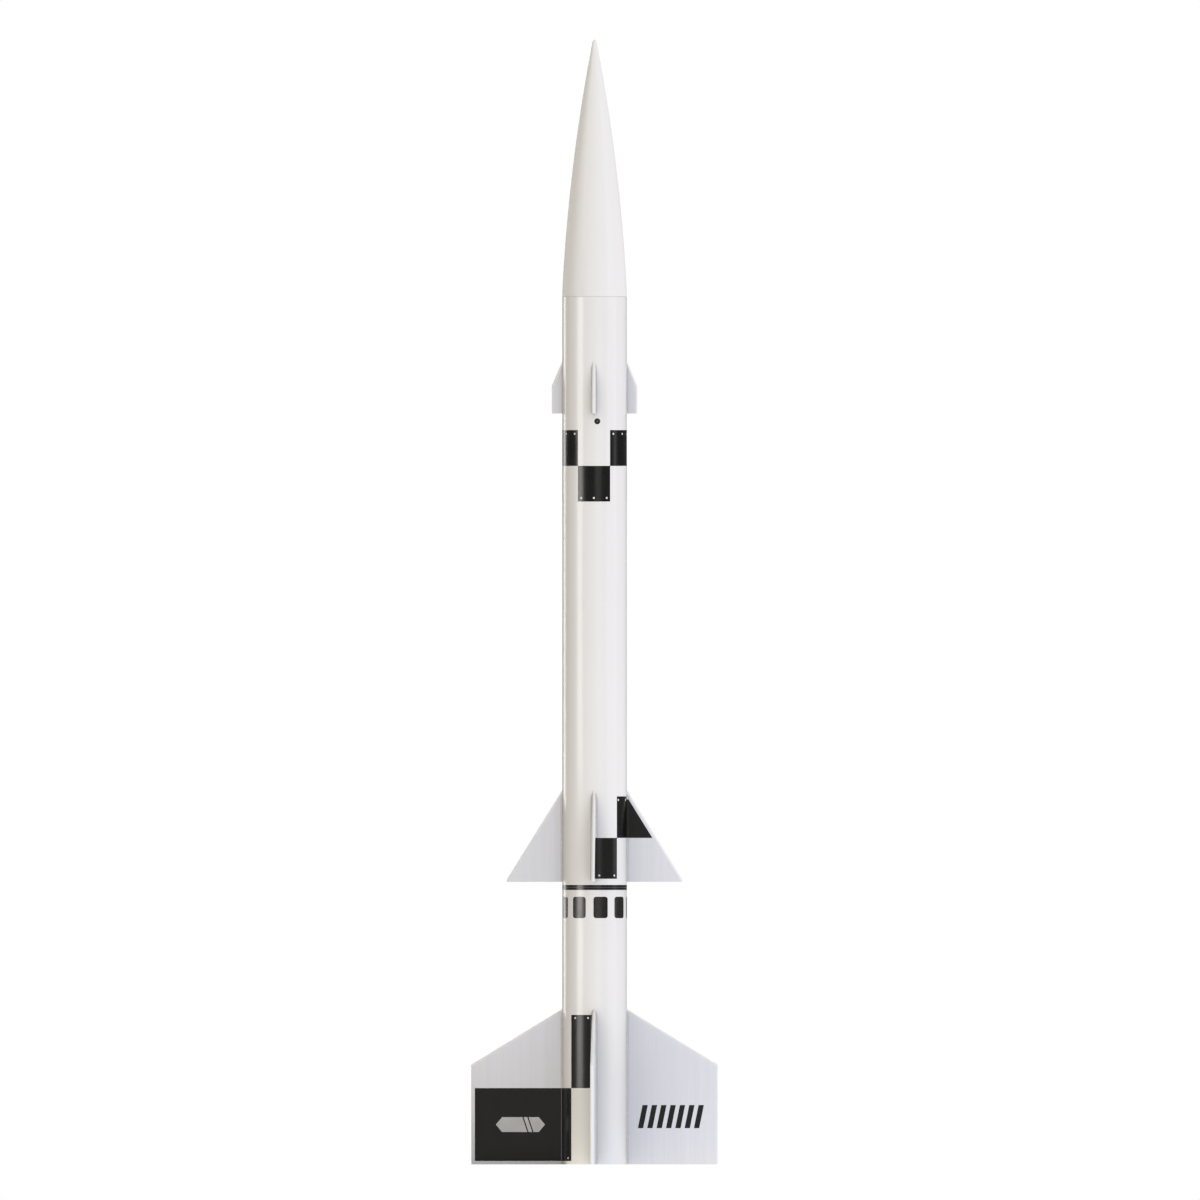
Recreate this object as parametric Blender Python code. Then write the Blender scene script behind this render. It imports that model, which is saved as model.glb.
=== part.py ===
"""A finned model rocket for one 24 mm black-powder engine, built as its kit is built.

Two paper tubes meet at a coupler. The upper tube carries four small canards and four delta
fins, the lower one four large fins that the rocket stands on. A hollow plastic nose cone
plugs into the top. Inside are the engine mount with its spring-steel hook, and the recovery
gear: a rolled parachute with its lines, and an elastic shock cord tied to the nose.

Metres, +Z up. The origin is on the axis at the plane the rocket stands on. Right is +X, front
is -Y. The nose cone slides up off the upper tube, and the engine hook flexes outward about
its forward bend.
"""

import math

import bmesh
import bpy
from mathutils import Matrix, Vector

MM = 0.001
GAP = 0.3 * MM  # clearance between pieces that touch or are glued together

# Heights of the main stations.
TIP_Z = 726.1 * MM
NOSE_JOINT_Z = 560.3 * MM
STAGE_JOINT_Z = 179.7 * MM

# Body tubes: 41.58 mm outside, 40.51 mm inside.
TUBE_R = 20.79 * MM
TUBE_BORE_R = 20.255 * MM
TUBE_FACETS = 48

# Nose cone.
NOSE_TIP_R = 1.03 * MM
NOSE_BULGE = 11.6 * MM  # how far the ogive swells beyond a straight cone, before its t(1 - t)
NOSE_BLEND = 8.0 * MM  # length over which the ogive eases into the tube's line
NOSE_CAP = 1.2 * MM  # height of the rounded tip
NOSE_WALL = 1.2 * MM
NOSE_HOLLOW_TOP = 12.0 * MM  # depth of the hollow's top below the tip
NOSE_STATIONS = 18
HOLLOW_STATIONS = 9
SHOULDER_R = 20.1 * MM
SHOULDER_LENGTH = 24.0 * MM
SHOULDER_CHAMFER = 1.2 * MM

# Nose cone base plug and its eyelet.
PLUG_R = SHOULDER_R - NOSE_WALL - 0.2 * MM
PLUG_HEIGHT = 5.7 * MM
PLUG_FLOOR = 1.6 * MM
EYELET_R = 3.3 * MM
EYELET_WIRE_R = 0.9 * MM
EYELET_DROP = 3.0 * MM  # eyelet centre below the plug's floor

# Coupler.
COUPLER_R = 20.15 * MM
COUPLER_BORE_R = 19.7 * MM
COUPLER_HALF_LENGTH = 38.1 * MM

# Fins: (distance from the axis, height) of each corner in mm, from the top of the root round
# the tip to the bottom of the root.
FIN_THICKNESS = 2.38 * MM
FIN_ROUNDING = 0.9 * MM
FIN_OUTLINES = {
    "canard": [(21.09, 518.7), (27.6, 502.6), (27.6, 484.8), (21.09, 484.8)],
    "upper_fin": [(21.09, 241.7), (56.6, 183.9), (56.6, 182.4), (21.09, 182.4)],
    "lower_fin": [(21.09, 100.3), (79.6, 64.4), (79.6, 0.0), (21.09, 0.0)],
}
SIDES = {"right": 0, "rear": 90, "left": 180, "front": 270}  # degrees about Z

# Launch lugs, on the rear left between two fins.
LUG_BORE_R = 2.54 * MM
LUG_R = 2.84 * MM
LUG_LENGTH = 50.8 * MM
LUG_ANGLE = 135
LUG_BOTTOMS = {"launch_lug_lower": 18.0 * MM, "launch_lug_upper": 296.0 * MM}
LUG_FACETS = 16

# Engine mount.
ENGINE_TUBE_R = 12.395 * MM
ENGINE_TUBE_BORE_R = 12.065 * MM
ENGINE_TUBE_LENGTH = 95.25 * MM
ENGINE_TUBE_BOTTOM = 9.0 * MM
RING_R = 20.1 * MM
RING_BORE_R = 12.65 * MM
RING_THICKNESS = 1.6 * MM
AFT_RING_Z = 14.0 * MM
FORWARD_RING_Z = 94.0 * MM
BLOCK_R = 11.95 * MM
BLOCK_BORE_R = 10.2 * MM
BLOCK_LENGTH = 6.35 * MM

# Engine hook: a spring-steel strip down the engine tube's +X side.
HOOK_THICKNESS = 0.8 * MM
HOOK_WIDTH = 3.2 * MM
HOOK_X = 13.2 * MM  # the strip's middle plane
HOOK_PIVOT_Z = 76.4 * MM
HOOK_TAB_TIP_X = 9.7 * MM
HOOK_LIP_Z = 5.3 * MM
HOOK_LIP_X = 10.4 * MM
HOOK_FINGER_TIP = (11.6 * MM, 1.6 * MM)
SLIT_SIZE = Vector((2.4, 3.9, 1.5)) * MM
NOTCH_SIZE = Vector((5.4, 5.2, 6.0)) * MM
NOTCH_OUTER_X = 17.4 * MM
BLOCK_BOTTOM = HOOK_PIVOT_Z + HOOK_THICKNESS / 2 + GAP

# Retaining ring: a band round the engine tube and, with room to flex, over the hook.
BAND_BORE_R = 13.6 * MM
BAND_WALL = 0.5 * MM
BAND_SHIFT = 0.95 * MM
BAND_BOTTOM = 66.0 * MM
BAND_WIDTH = 6.35 * MM

# Shock cord mount: a folded paper pad glued inside the upper tube, at the rear.
PAD_OUTER_R = 20.0 * MM
PAD_INNER_R = 18.3 * MM
PAD_BOTTOM = 466.0 * MM
PAD_HEIGHT = 30.0 * MM
PAD_SWEEP = 52.5
PAD_STEPS = 7

# Shock cord: 24 in of elastic, coiled against the tube's wall.
CORD_R = 1.6 * MM
CORD_POINTS = 80
COIL_R = 16.1 * MM
COIL_BOTTOM = 502.5 * MM
COIL_PITCH = 3.9 * MM
COIL_START = 150
COIL_TURNS = 5.58
COIL_KEYS_PER_TURN = 12
CORD_START = [(0.0, 17.9, 497.8), (-2.0, 17.7, 499.2), (-5.6, 16.2, 500.8)]
CORD_END = [
    (8.5, 9.6, 526.6),
    (3.2, 8.6, 530.2),
    (0.4, 4.6, 532.8),
    (0.0, 0.0, 533.2),
    (0.0, -3.2, 533.2),
]

# Parachute: an 18 in canopy folded and rolled, with its lines wound round it.
ROLL_R = 16.4 * MM
ROLL_BOTTOM = 368.0 * MM
ROLL_LENGTH = 95.0 * MM
ROLL_ROUNDING = 4.0 * MM
ROLL_FACETS = 24
WINDING_BORE_R = ROLL_R + GAP
WINDING_R = 18.1 * MM
WINDING_BOTTOM = 402.0 * MM
WINDING_HEIGHT = 22.0 * MM

WHITE = (0.83, 0.82, 0.80)


def clear_scene():
    for obj in list(bpy.data.objects):
        bpy.data.objects.remove(obj, do_unlink=True)


def make_material(name, colour, roughness, metallic=0.0):
    """A Principled BSDF in one colour."""
    material = bpy.data.materials.new(name)
    material.use_nodes = True
    shader = material.node_tree.nodes["Principled BSDF"]
    shader.inputs["Base Color"].default_value = (*colour, 1.0)
    shader.inputs["Roughness"].default_value = roughness
    shader.inputs["Metallic"].default_value = metallic
    return material


def link(name, mesh, material=None, smooth=True):
    """An object that shows the mesh. Round pieces are smooth, with their corners kept sharp."""
    obj = bpy.data.objects.new(name, mesh)
    bpy.context.scene.collection.objects.link(obj)
    if material and not mesh.materials:
        mesh.materials.append(material)
    if smooth:
        mesh.shade_smooth()
        mesh.set_sharp_from_angle(angle=math.radians(30))
    return obj


def mesh_of(name, bm):
    """The bmesh as a mesh with its faces pointing out."""
    bmesh.ops.recalc_face_normals(bm, faces=bm.faces)
    mesh = bpy.data.meshes.new(name)
    bm.to_mesh(mesh)
    bm.free()
    return mesh


def turned_mesh(name, profile, facets=TUBE_FACETS, sweep=360.0, closed=True):
    """A solid turned about Z from a profile of (radius, height) points.

    An open profile starts and ends on the axis. A sweep short of a full turn is capped.
    """
    bm = bmesh.new()
    points = [bm.verts.new((r, 0.0, z)) for r, z in profile]
    followers = points[1:] + points[:1] if closed else points[1:]
    edges = [bm.edges.new(pair) for pair in zip(points, followers)]
    spun = bmesh.ops.spin(
        bm,
        geom=points + edges,
        axis=(0, 0, 1),
        angle=math.radians(sweep),
        steps=facets,
        use_merge=sweep == 360.0,
    )
    if sweep < 360.0:
        last = {v for v in spun["geom_last"] if isinstance(v, bmesh.types.BMVert)}
        turn = Matrix.Rotation(math.radians(sweep), 3, "Z")
        ends = [min(last, key=lambda v: (v.co - turn @ p.co).length) for p in points]
        bm.faces.new(points)
        bm.faces.new(list(reversed(ends)))
    bmesh.ops.remove_doubles(bm, verts=bm.verts, dist=1e-6)
    return mesh_of(name, bm)


def ring_profile(bore_r, outer_r, bottom, height):
    return [(bore_r, bottom), (outer_r, bottom), (outer_r, bottom + height), (bore_r, bottom + height)]


def ring(name, material, bore_r, outer_r, bottom, height, facets=TUBE_FACETS):
    return link(name, turned_mesh(name, ring_profile(bore_r, outer_r, bottom, height), facets), material)


def slab_mesh(name, outline, width):
    """An outline in the XZ plane, given a width across Y."""
    bm = bmesh.new()
    face = bm.faces.new([bm.verts.new((x, -width / 2, z)) for x, z in outline])
    grown = bmesh.ops.extrude_face_region(bm, geom=[face])["geom"]
    moved = [v for v in grown if isinstance(v, bmesh.types.BMVert)]
    bmesh.ops.translate(bm, vec=(0, width, 0), verts=moved)
    return mesh_of(name, bm)


def fin_mesh(name, outline):
    """A fin with a rounded leading edge and tip, and a square trailing edge and root."""
    mesh = slab_mesh(name, outline, FIN_THICKNESS)
    bm = bmesh.new()
    bm.from_mesh(mesh)
    root_x, foot_z = outline[-1]
    edges = []
    for edge in bm.edges:
        start, end = (v.co for v in edge.verts)
        along_face = abs(start.y - end.y) < GAP
        at_root = max(abs(start.x - root_x), abs(end.x - root_x)) < GAP
        at_foot = max(abs(start.z - foot_z), abs(end.z - foot_z)) < GAP
        if along_face and not at_root and not at_foot:
            edges.append(edge)
    bmesh.ops.bevel(bm, geom=edges, offset=FIN_ROUNDING, segments=3, profile=0.5, affect="EDGES")
    bmesh.ops.recalc_face_normals(bm, faces=bm.faces)
    bm.to_mesh(mesh)
    bm.free()
    return mesh


def strip_outline(points, thickness):
    """The outline of a bent strip whose middle line follows the points, with mitred bends."""
    path = [Vector(p) for p in points]
    runs = [(b - a).normalized() for a, b in zip(path, path[1:])]
    sides = [Vector((-run.y, run.x)) for run in runs]
    offsets = [sides[0]]
    for before, after in zip(sides, sides[1:]):
        mitre = (before + after).normalized()
        offsets.append(mitre / mitre.dot(before))
    offsets.append(sides[-1])
    left = [p + o * thickness / 2 for p, o in zip(path, offsets)]
    right = [p - o * thickness / 2 for p, o in zip(path, offsets)]
    return [tuple(p) for p in left + right[::-1]]


def box_cutter(name, low, size):
    """A box that a Boolean cuts with, from its low corner."""
    bm = bmesh.new()
    bmesh.ops.create_cube(bm, size=1.0)
    bmesh.ops.scale(bm, vec=size, verts=bm.verts)
    bmesh.ops.translate(bm, vec=low + size / 2, verts=bm.verts)
    return guide(link(name, mesh_of(name, bm), smooth=False))


def guide(obj):
    obj.hide_render = True
    obj.display_type = "WIRE"
    return obj


def boolean(obj, other, operation):
    modifier = obj.modifiers.new(operation.lower(), "BOOLEAN")
    modifier.object = other
    modifier.operation = operation


def joint_empty(name, place):
    empty = bpy.data.objects.new(name, None)
    empty.location = place
    empty.empty_display_size = 10 * MM
    bpy.context.scene.collection.objects.link(empty)
    return empty


def hang(obj, empty):
    """Parents obj to the empty and leaves it in its place."""
    obj.parent = empty
    obj.location = obj.location - empty.location


def smooth_points(keys, count):
    """Points at even spacing on a Catmull-Rom curve through the keys."""
    ends = [keys[0] * 2 - keys[1], *keys, keys[-1] * 2 - keys[-2]]
    fine = [keys[0]]
    for a, b, c, d in zip(ends, ends[1:], ends[2:], ends[3:]):
        for step in range(1, 17):
            t = step / 16
            straight = b * 2 + (c - a) * t
            bent = (a * 2 - b * 5 + c * 4 - d) * t**2 + (b * 3 - a - c * 3 + d) * t**3
            fine.append((straight + bent) / 2)
    lengths = [0.0]
    for a, b in zip(fine, fine[1:]):
        lengths.append(lengths[-1] + (b - a).length)
    chosen, i = [], 0
    for k in range(count):
        want = lengths[-1] * k / (count - 1)
        while i < len(fine) - 2 and lengths[i + 1] < want:
            i += 1
        share = (want - lengths[i]) / (lengths[i + 1] - lengths[i])
        chosen.append(fine[i].lerp(fine[i + 1], share))
    return chosen


def nose_radius(z):
    """The ogive's outer radius at a height, easing into the tube's radius at its base."""
    growth = TUBE_R - NOSE_TIP_R
    raw_length = TIP_Z - NOSE_JOINT_Z - NOSE_BLEND / 2
    base_slope = (growth - NOSE_BULGE) / raw_length
    above = z - NOSE_JOINT_Z
    if above < NOSE_BLEND:
        return TUBE_R - base_slope * max(above, 0.0) ** 2 / (2 * NOSE_BLEND)
    t = (TIP_Z - z) / raw_length
    return NOSE_TIP_R + growth * t + NOSE_BULGE * t * (1 - t)


def nose_cone(material):
    """A blown shell: ogive, step and shoulder, open at the shoulder's end."""
    shelf = NOSE_JOINT_Z + GAP / 2
    bottom = NOSE_JOINT_Z - SHOULDER_LENGTH
    cap_base = TIP_Z - NOSE_CAP
    profile = [(0.0, TIP_Z)]
    for angle in (30, 60):
        turn = math.radians(angle)
        radius = nose_radius(cap_base) * math.sin(turn)
        profile.append((radius, cap_base + NOSE_CAP * math.cos(turn)))
    for k in range(NOSE_STATIONS + 1):
        z = cap_base + (shelf - cap_base) * (k / NOSE_STATIONS) ** 1.15
        profile.append((nose_radius(z), z))
    profile += [
        (SHOULDER_R, shelf),
        (SHOULDER_R, bottom + SHOULDER_CHAMFER),
        (SHOULDER_R - SHOULDER_CHAMFER / 3, bottom),
        (SHOULDER_R - NOSE_WALL, bottom),
        (SHOULDER_R - NOSE_WALL, NOSE_JOINT_Z),
    ]
    hollow_top = TIP_Z - NOSE_HOLLOW_TOP
    for k in range(1, HOLLOW_STATIONS):
        z = NOSE_JOINT_Z + (hollow_top - NOSE_JOINT_Z) * k / HOLLOW_STATIONS
        profile.append((nose_radius(z) - NOSE_WALL, z))
    profile.append((0.0, hollow_top))
    return link("nose_cone", turned_mesh("nose_cone", profile, closed=False), material)


def nose_cone_plug(material):
    """A cup that closes the shoulder, with the eyelet moulded under its floor."""
    bottom = NOSE_JOINT_Z - SHOULDER_LENGTH
    top = bottom + PLUG_HEIGHT
    floor = bottom + PLUG_FLOOR
    inner_r = PLUG_R - NOSE_WALL
    inside = [(0.0, floor), (inner_r, floor), (inner_r, top)]
    outside = [(PLUG_R, top), (PLUG_R, bottom), (0.0, bottom)]
    plug = link("nose_cone_plug", turned_mesh("nose_cone_plug", inside + outside, closed=False), material)
    wire = [
        (EYELET_R + EYELET_WIRE_R * math.cos(turn), EYELET_WIRE_R * math.sin(turn))
        for turn in (math.tau * k / 8 for k in range(8))
    ]
    eyelet = guide(link("eyelet_loop", turned_mesh("eyelet_loop", wire, facets=24)))
    eyelet.rotation_euler.x = math.radians(90)
    eyelet.location.z = bottom - EYELET_DROP
    boolean(plug, eyelet, "UNION")
    return plug, eyelet


def body_tubes(material, coupler_material):
    tubes = {
        "lower_body_tube": (0.0, STAGE_JOINT_Z - GAP / 2),
        "upper_body_tube": (STAGE_JOINT_Z + GAP / 2, NOSE_JOINT_Z - GAP / 2),
    }
    for name, (bottom, top) in tubes.items():
        ring(name, material, TUBE_BORE_R, TUBE_R, bottom, top - bottom)
    bottom, length = STAGE_JOINT_Z - COUPLER_HALF_LENGTH, 2 * COUPLER_HALF_LENGTH
    ring("tube_coupler", coupler_material, COUPLER_BORE_R, COUPLER_R, bottom, length)


def fins(material):
    for kind, outline in FIN_OUTLINES.items():
        mesh = fin_mesh(kind, [(x * MM, z * MM) for x, z in outline])
        for side, angle in SIDES.items():
            fin = link(f"{kind}_{side}", mesh, material, smooth=False)
            fin.rotation_euler.z = math.radians(angle)


def launch_lugs(material):
    turn = math.radians(LUG_ANGLE)
    reach = TUBE_R + GAP + LUG_R
    for name, bottom in LUG_BOTTOMS.items():
        lug = ring(name, material, LUG_BORE_R, LUG_R, bottom, LUG_LENGTH, LUG_FACETS)
        lug.location = (reach * math.cos(turn), reach * math.sin(turn), 0)


def engine_mount(card, block_card, band_film):
    """The engine tube in its two centring rings, with the block and the hook's band."""
    tube = ring(
        "engine_tube", card, ENGINE_TUBE_BORE_R, ENGINE_TUBE_R, ENGINE_TUBE_BOTTOM, ENGINE_TUBE_LENGTH
    )
    slit_low = Vector((ENGINE_TUBE_R - SLIT_SIZE.x / 2, -SLIT_SIZE.y / 2, HOOK_PIVOT_Z - SLIT_SIZE.z / 2))
    boolean(tube, box_cutter("hook_slit", slit_low, SLIT_SIZE), "DIFFERENCE")
    ring("centring_ring_forward", card, RING_BORE_R, RING_R, FORWARD_RING_Z, RING_THICKNESS)
    aft = ring("centring_ring_aft", card, RING_BORE_R, RING_R, AFT_RING_Z, RING_THICKNESS)
    notch_low = Vector((NOTCH_OUTER_X - NOTCH_SIZE.x, -NOTCH_SIZE.y / 2, AFT_RING_Z - NOTCH_SIZE.z / 3))
    boolean(aft, box_cutter("hook_notch", notch_low, NOTCH_SIZE), "DIFFERENCE")
    ring("engine_block", block_card, BLOCK_BORE_R, BLOCK_R, BLOCK_BOTTOM, BLOCK_LENGTH)
    band = ring(
        "hook_retaining_ring", band_film, BAND_BORE_R, BAND_BORE_R + BAND_WALL, BAND_BOTTOM, BAND_WIDTH
    )
    band.location.x = BAND_SHIFT


def engine_hook(material):
    """A strip bent inward at both ends, with a finger tab past the aft bend."""
    middle = [
        (HOOK_TAB_TIP_X, HOOK_PIVOT_Z),
        (HOOK_X, HOOK_PIVOT_Z),
        (HOOK_X, HOOK_LIP_Z),
        (HOOK_LIP_X, HOOK_LIP_Z),
        HOOK_FINGER_TIP,
    ]
    mesh = slab_mesh("engine_hook", strip_outline(middle, HOOK_THICKNESS), HOOK_WIDTH)
    return link("engine_hook", mesh, material, smooth=False)


def shock_cord_mount(material):
    profile = ring_profile(PAD_INNER_R, PAD_OUTER_R, PAD_BOTTOM, PAD_HEIGHT)
    mesh = turned_mesh("shock_cord_mount", profile, PAD_STEPS, PAD_SWEEP)
    pad = link("shock_cord_mount", mesh, material)
    pad.rotation_euler.z = math.radians(90 - PAD_SWEEP / 2)


def shock_cord(material):
    """From the pad up into a coil against the wall, then in to the eyelet and through it."""
    keys = [Vector(p) * MM for p in CORD_START]
    for k in range(round(COIL_TURNS * COIL_KEYS_PER_TURN) + 1):
        turns = k / COIL_KEYS_PER_TURN
        angle = math.radians(COIL_START) + math.tau * turns
        height = COIL_BOTTOM + COIL_PITCH * turns
        keys.append(Vector((COIL_R * math.cos(angle), COIL_R * math.sin(angle), height)))
    keys += [Vector(p) * MM for p in CORD_END]
    curve = bpy.data.curves.new("shock_cord", "CURVE")
    curve.dimensions = "3D"
    curve.bevel_depth = CORD_R
    curve.bevel_resolution = 2
    curve.use_fill_caps = True
    points = smooth_points(keys, CORD_POINTS)
    spline = curve.splines.new("POLY")
    spline.points.add(len(points) - 1)
    for point, place in zip(spline.points, points):
        point.co = (*place, 1.0)
    curve.materials.append(material)
    cord = bpy.data.objects.new("shock_cord", curve)
    bpy.context.scene.collection.objects.link(cord)


def parachute(cloth, line):
    """The rolled canopy, and the band of its wound lines."""
    top = ROLL_BOTTOM + ROLL_LENGTH
    corner = ROLL_R - ROLL_ROUNDING
    profile = [(0.0, top)]
    for angle in (0, 30, 60, 90):
        turn = math.radians(angle)
        drop = ROLL_ROUNDING * (1 - math.cos(turn))
        profile.append((corner + ROLL_ROUNDING * math.sin(turn), top - drop))
    profile += [(r, top + ROLL_BOTTOM - z) for r, z in reversed(profile)]
    link("parachute", turned_mesh("parachute", profile, ROLL_FACETS, closed=False), cloth)
    ring("shroud_lines", line, WINDING_BORE_R, WINDING_R, WINDING_BOTTOM, WINDING_HEIGHT, ROLL_FACETS)


def main():
    clear_scene()
    painted_tube = make_material("painted_tube", WHITE, 0.22)
    painted_balsa = make_material("painted_balsa", WHITE, 0.38)
    nose_plastic = make_material("nose_plastic", WHITE, 0.4)
    kraft_card = make_material("kraft_card", (0.42, 0.27, 0.15), 0.85)
    grey_card = make_material("grey_card", (0.32, 0.31, 0.29), 0.9)
    film = make_material("film", (0.75, 0.73, 0.62), 0.3)
    paper = make_material("paper", (0.78, 0.76, 0.70), 0.8)
    spring_steel = make_material("spring_steel", (0.56, 0.57, 0.58), 0.3, 1.0)
    elastic = make_material("elastic", (0.80, 0.79, 0.75), 0.8)
    canopy_cloth = make_material("canopy_cloth", (0.75, 0.16, 0.05), 0.5)
    line_thread = make_material("line_thread", (0.82, 0.80, 0.74), 0.7)

    nose_axis = joint_empty("nose_pull_axis", (0, 0, NOSE_JOINT_Z))
    for piece in (nose_cone(nose_plastic), *nose_cone_plug(nose_plastic)):
        hang(piece, nose_axis)
    body_tubes(painted_tube, kraft_card)
    fins(painted_balsa)
    launch_lugs(painted_tube)
    engine_mount(kraft_card, grey_card, film)
    hook_axis = joint_empty("hook_flex_axis", (HOOK_X, 0, HOOK_PIVOT_Z))
    hang(engine_hook(spring_steel), hook_axis)
    shock_cord_mount(paper)
    shock_cord(elastic)
    parachute(canopy_cloth, line_thread)


main()
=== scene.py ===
"""Looks of the finned model rocket: every sub-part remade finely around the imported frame.

Metres, +Z up. Right is +X, front is -Y. Angles round the body are in degrees from the front,
positive towards the right, unless they are said to be polar, which is from +X.
"""

import math

import bmesh
import bpy
from mathutils import Matrix, Vector

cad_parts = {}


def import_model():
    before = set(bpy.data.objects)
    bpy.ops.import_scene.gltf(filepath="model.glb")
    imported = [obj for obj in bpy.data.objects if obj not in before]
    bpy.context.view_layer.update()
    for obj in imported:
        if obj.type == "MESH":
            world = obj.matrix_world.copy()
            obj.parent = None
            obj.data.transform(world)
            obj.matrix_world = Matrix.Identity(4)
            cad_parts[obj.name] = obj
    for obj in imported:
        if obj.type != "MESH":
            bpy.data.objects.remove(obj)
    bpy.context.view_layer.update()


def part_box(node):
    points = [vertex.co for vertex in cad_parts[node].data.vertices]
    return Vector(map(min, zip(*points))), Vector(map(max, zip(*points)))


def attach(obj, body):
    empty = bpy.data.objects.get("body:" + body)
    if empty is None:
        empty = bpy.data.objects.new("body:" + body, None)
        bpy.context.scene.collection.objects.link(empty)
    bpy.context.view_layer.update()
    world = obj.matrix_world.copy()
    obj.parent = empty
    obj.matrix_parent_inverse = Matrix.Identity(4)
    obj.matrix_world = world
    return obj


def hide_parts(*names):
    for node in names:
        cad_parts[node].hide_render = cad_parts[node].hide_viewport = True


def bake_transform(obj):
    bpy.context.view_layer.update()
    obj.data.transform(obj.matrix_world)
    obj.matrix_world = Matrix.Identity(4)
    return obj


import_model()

MM = 0.001


def node_low(node):
    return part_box(node)[0]


def node_high(node):
    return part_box(node)[1]


# Stations and radii read from the frame.
TUBE_R = node_high("lower_body_tube").x
TUBE_WALL = 0.535 * MM
TUBE_BORE_R = TUBE_R - TUBE_WALL
TIP_Z = node_high("nose_cone").z
NOSE_BOTTOM_Z = node_low("nose_cone").z
SHOULDER_LENGTH = 24.0 * MM
NOSE_JOINT_Z = NOSE_BOTTOM_Z + SHOULDER_LENGTH
STAGE_JOINT_Z = (node_high("lower_body_tube").z + node_low("upper_body_tube").z) / 2
FIN_THICKNESS = node_high("lower_fin_right").y * 2

FACETS = 128
DECAL = 0.05 * MM  # how far a printed decal stands above the paint
DOT = 0.03 * MM  # how far a dot stands above the decal under it

# ---------------------------------------------------------------- outlines and meshes


def polar(radius, degrees):
    return Vector((radius * math.cos(math.radians(degrees)), radius * math.sin(math.radians(degrees))))


def arc_points(centre, first, last, steps):
    """Points on the arc about centre from centre + first to centre + last, which are equally long."""
    sweep = first.angle(last)
    for k in range(steps + 1):
        a, b = math.sin(sweep * (1 - k / steps)), math.sin(sweep * k / steps)
        yield centre + (first * a + last * b) / math.sin(sweep)


def rounded(corners, steps=5):
    """A closed outline through (x, y, radius) corners, each turned by an arc of its radius."""
    points = []
    for i, (x, y, radius) in enumerate(corners):
        here = Vector((x, y))
        if radius == 0:
            points.append(here)
            continue
        before = (Vector(corners[i - 1][:2]) - here).normalized()
        after = (Vector(corners[(i + 1) % len(corners)][:2]) - here).normalized()
        half = before.angle(after) / 2
        centre = here + (before + after).normalized() * (radius / math.sin(half))
        first = here + before * (radius / math.tan(half)) - centre
        last = here + after * (radius / math.tan(half)) - centre
        points += arc_points(centre, first, last, steps)
    return points


def mesh_from(name, verts, faces, smooth_angle=30.0):
    """A closed mesh with its faces out. Edges sharper than smooth_angle stay sharp."""
    mesh = bpy.data.meshes.new(name)
    mesh.from_pydata([tuple(v) for v in verts], [], faces)
    bm = bmesh.new()
    bm.from_mesh(mesh)
    bmesh.ops.remove_doubles(bm, verts=bm.verts, dist=1e-7)
    bmesh.ops.recalc_face_normals(bm, faces=bm.faces)
    bm.to_mesh(mesh)
    bm.free()
    mesh.shade_smooth()
    mesh.set_sharp_from_angle(angle=math.radians(smooth_angle))
    return mesh


class Solid:
    """Points and faces of one piece, gathered shape by shape."""

    def __init__(self):
        self.verts = []
        self.faces = []

    def add(self, verts, faces, place=None):
        start = len(self.verts)
        self.verts += [place @ Vector(v) if place else Vector(v) for v in verts]
        self.faces += [tuple(start + i for i in face) for face in faces]
        return self

    def loft(self, rings, closed_ends=True, place=None):
        """Rings of equally many points, joined one to the next and capped."""
        count = len(rings[0])
        verts = [v for ring in rings for v in ring]
        faces = []
        for start in range(0, len(verts) - count, count):
            for i in range(count):
                a, b = start + i, start + (i + 1) % count
                faces.append((a, b, b + count, a + count))
        if closed_ends:
            faces.append(tuple(range(count)))
            faces.append(tuple(len(verts) - count + i for i in range(count)))
        return self.add(verts, faces, place)

    def turn(self, outline, facets=FACETS, centre=(0.0, 0.0)):
        """A solid turned about the vertical through centre, from a closed (radius, height) outline."""
        rings = []
        for k in range(facets + 1):
            c, s = math.cos(math.tau * k / facets), math.sin(math.tau * k / facets)
            rings.append([(centre[0] + r * c, centre[1] + r * s, z) for r, z in outline])
        return self.loft(rings, closed_ends=False)

    def prism(self, outline, low, high, place=None):
        """An (x, z) outline given thickness from y = low to y = high."""
        return self.loft([[(x, y, z) for x, z in outline] for y in (low, high)], place=place)

    def tube(self, path, section, side=None):
        """A (across, along side) section swept down the path. Side is kept level by default."""
        rings = []
        for i, here in enumerate(path):
            run = (path[min(i + 1, len(path) - 1)] - path[max(i - 1, 0)]).normalized()
            across = (side(here, run) if side else run.cross(Vector((0, 0, 1)))).normalized()
            up = across.cross(run).normalized()
            rings.append([here + across * a + up * b for a, b in section])
        return self.loft(rings)

    def mesh(self, name, smooth_angle=30.0):
        return mesh_from(name, self.verts, self.faces, smooth_angle)


def circle(radius, points):
    angles = [math.tau * k / points for k in range(points)]
    return [(radius * math.cos(angle), radius * math.sin(angle)) for angle in angles]


def ring_outline(bore_r, outer_r, bottom, top, edge):
    """A ring's (radius, height) outline, with all four edges rounded."""
    corners = [(bore_r, bottom), (outer_r, bottom), (outer_r, top), (bore_r, top)]
    return rounded([(r, z, edge) for r, z in corners], steps=3)


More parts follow.
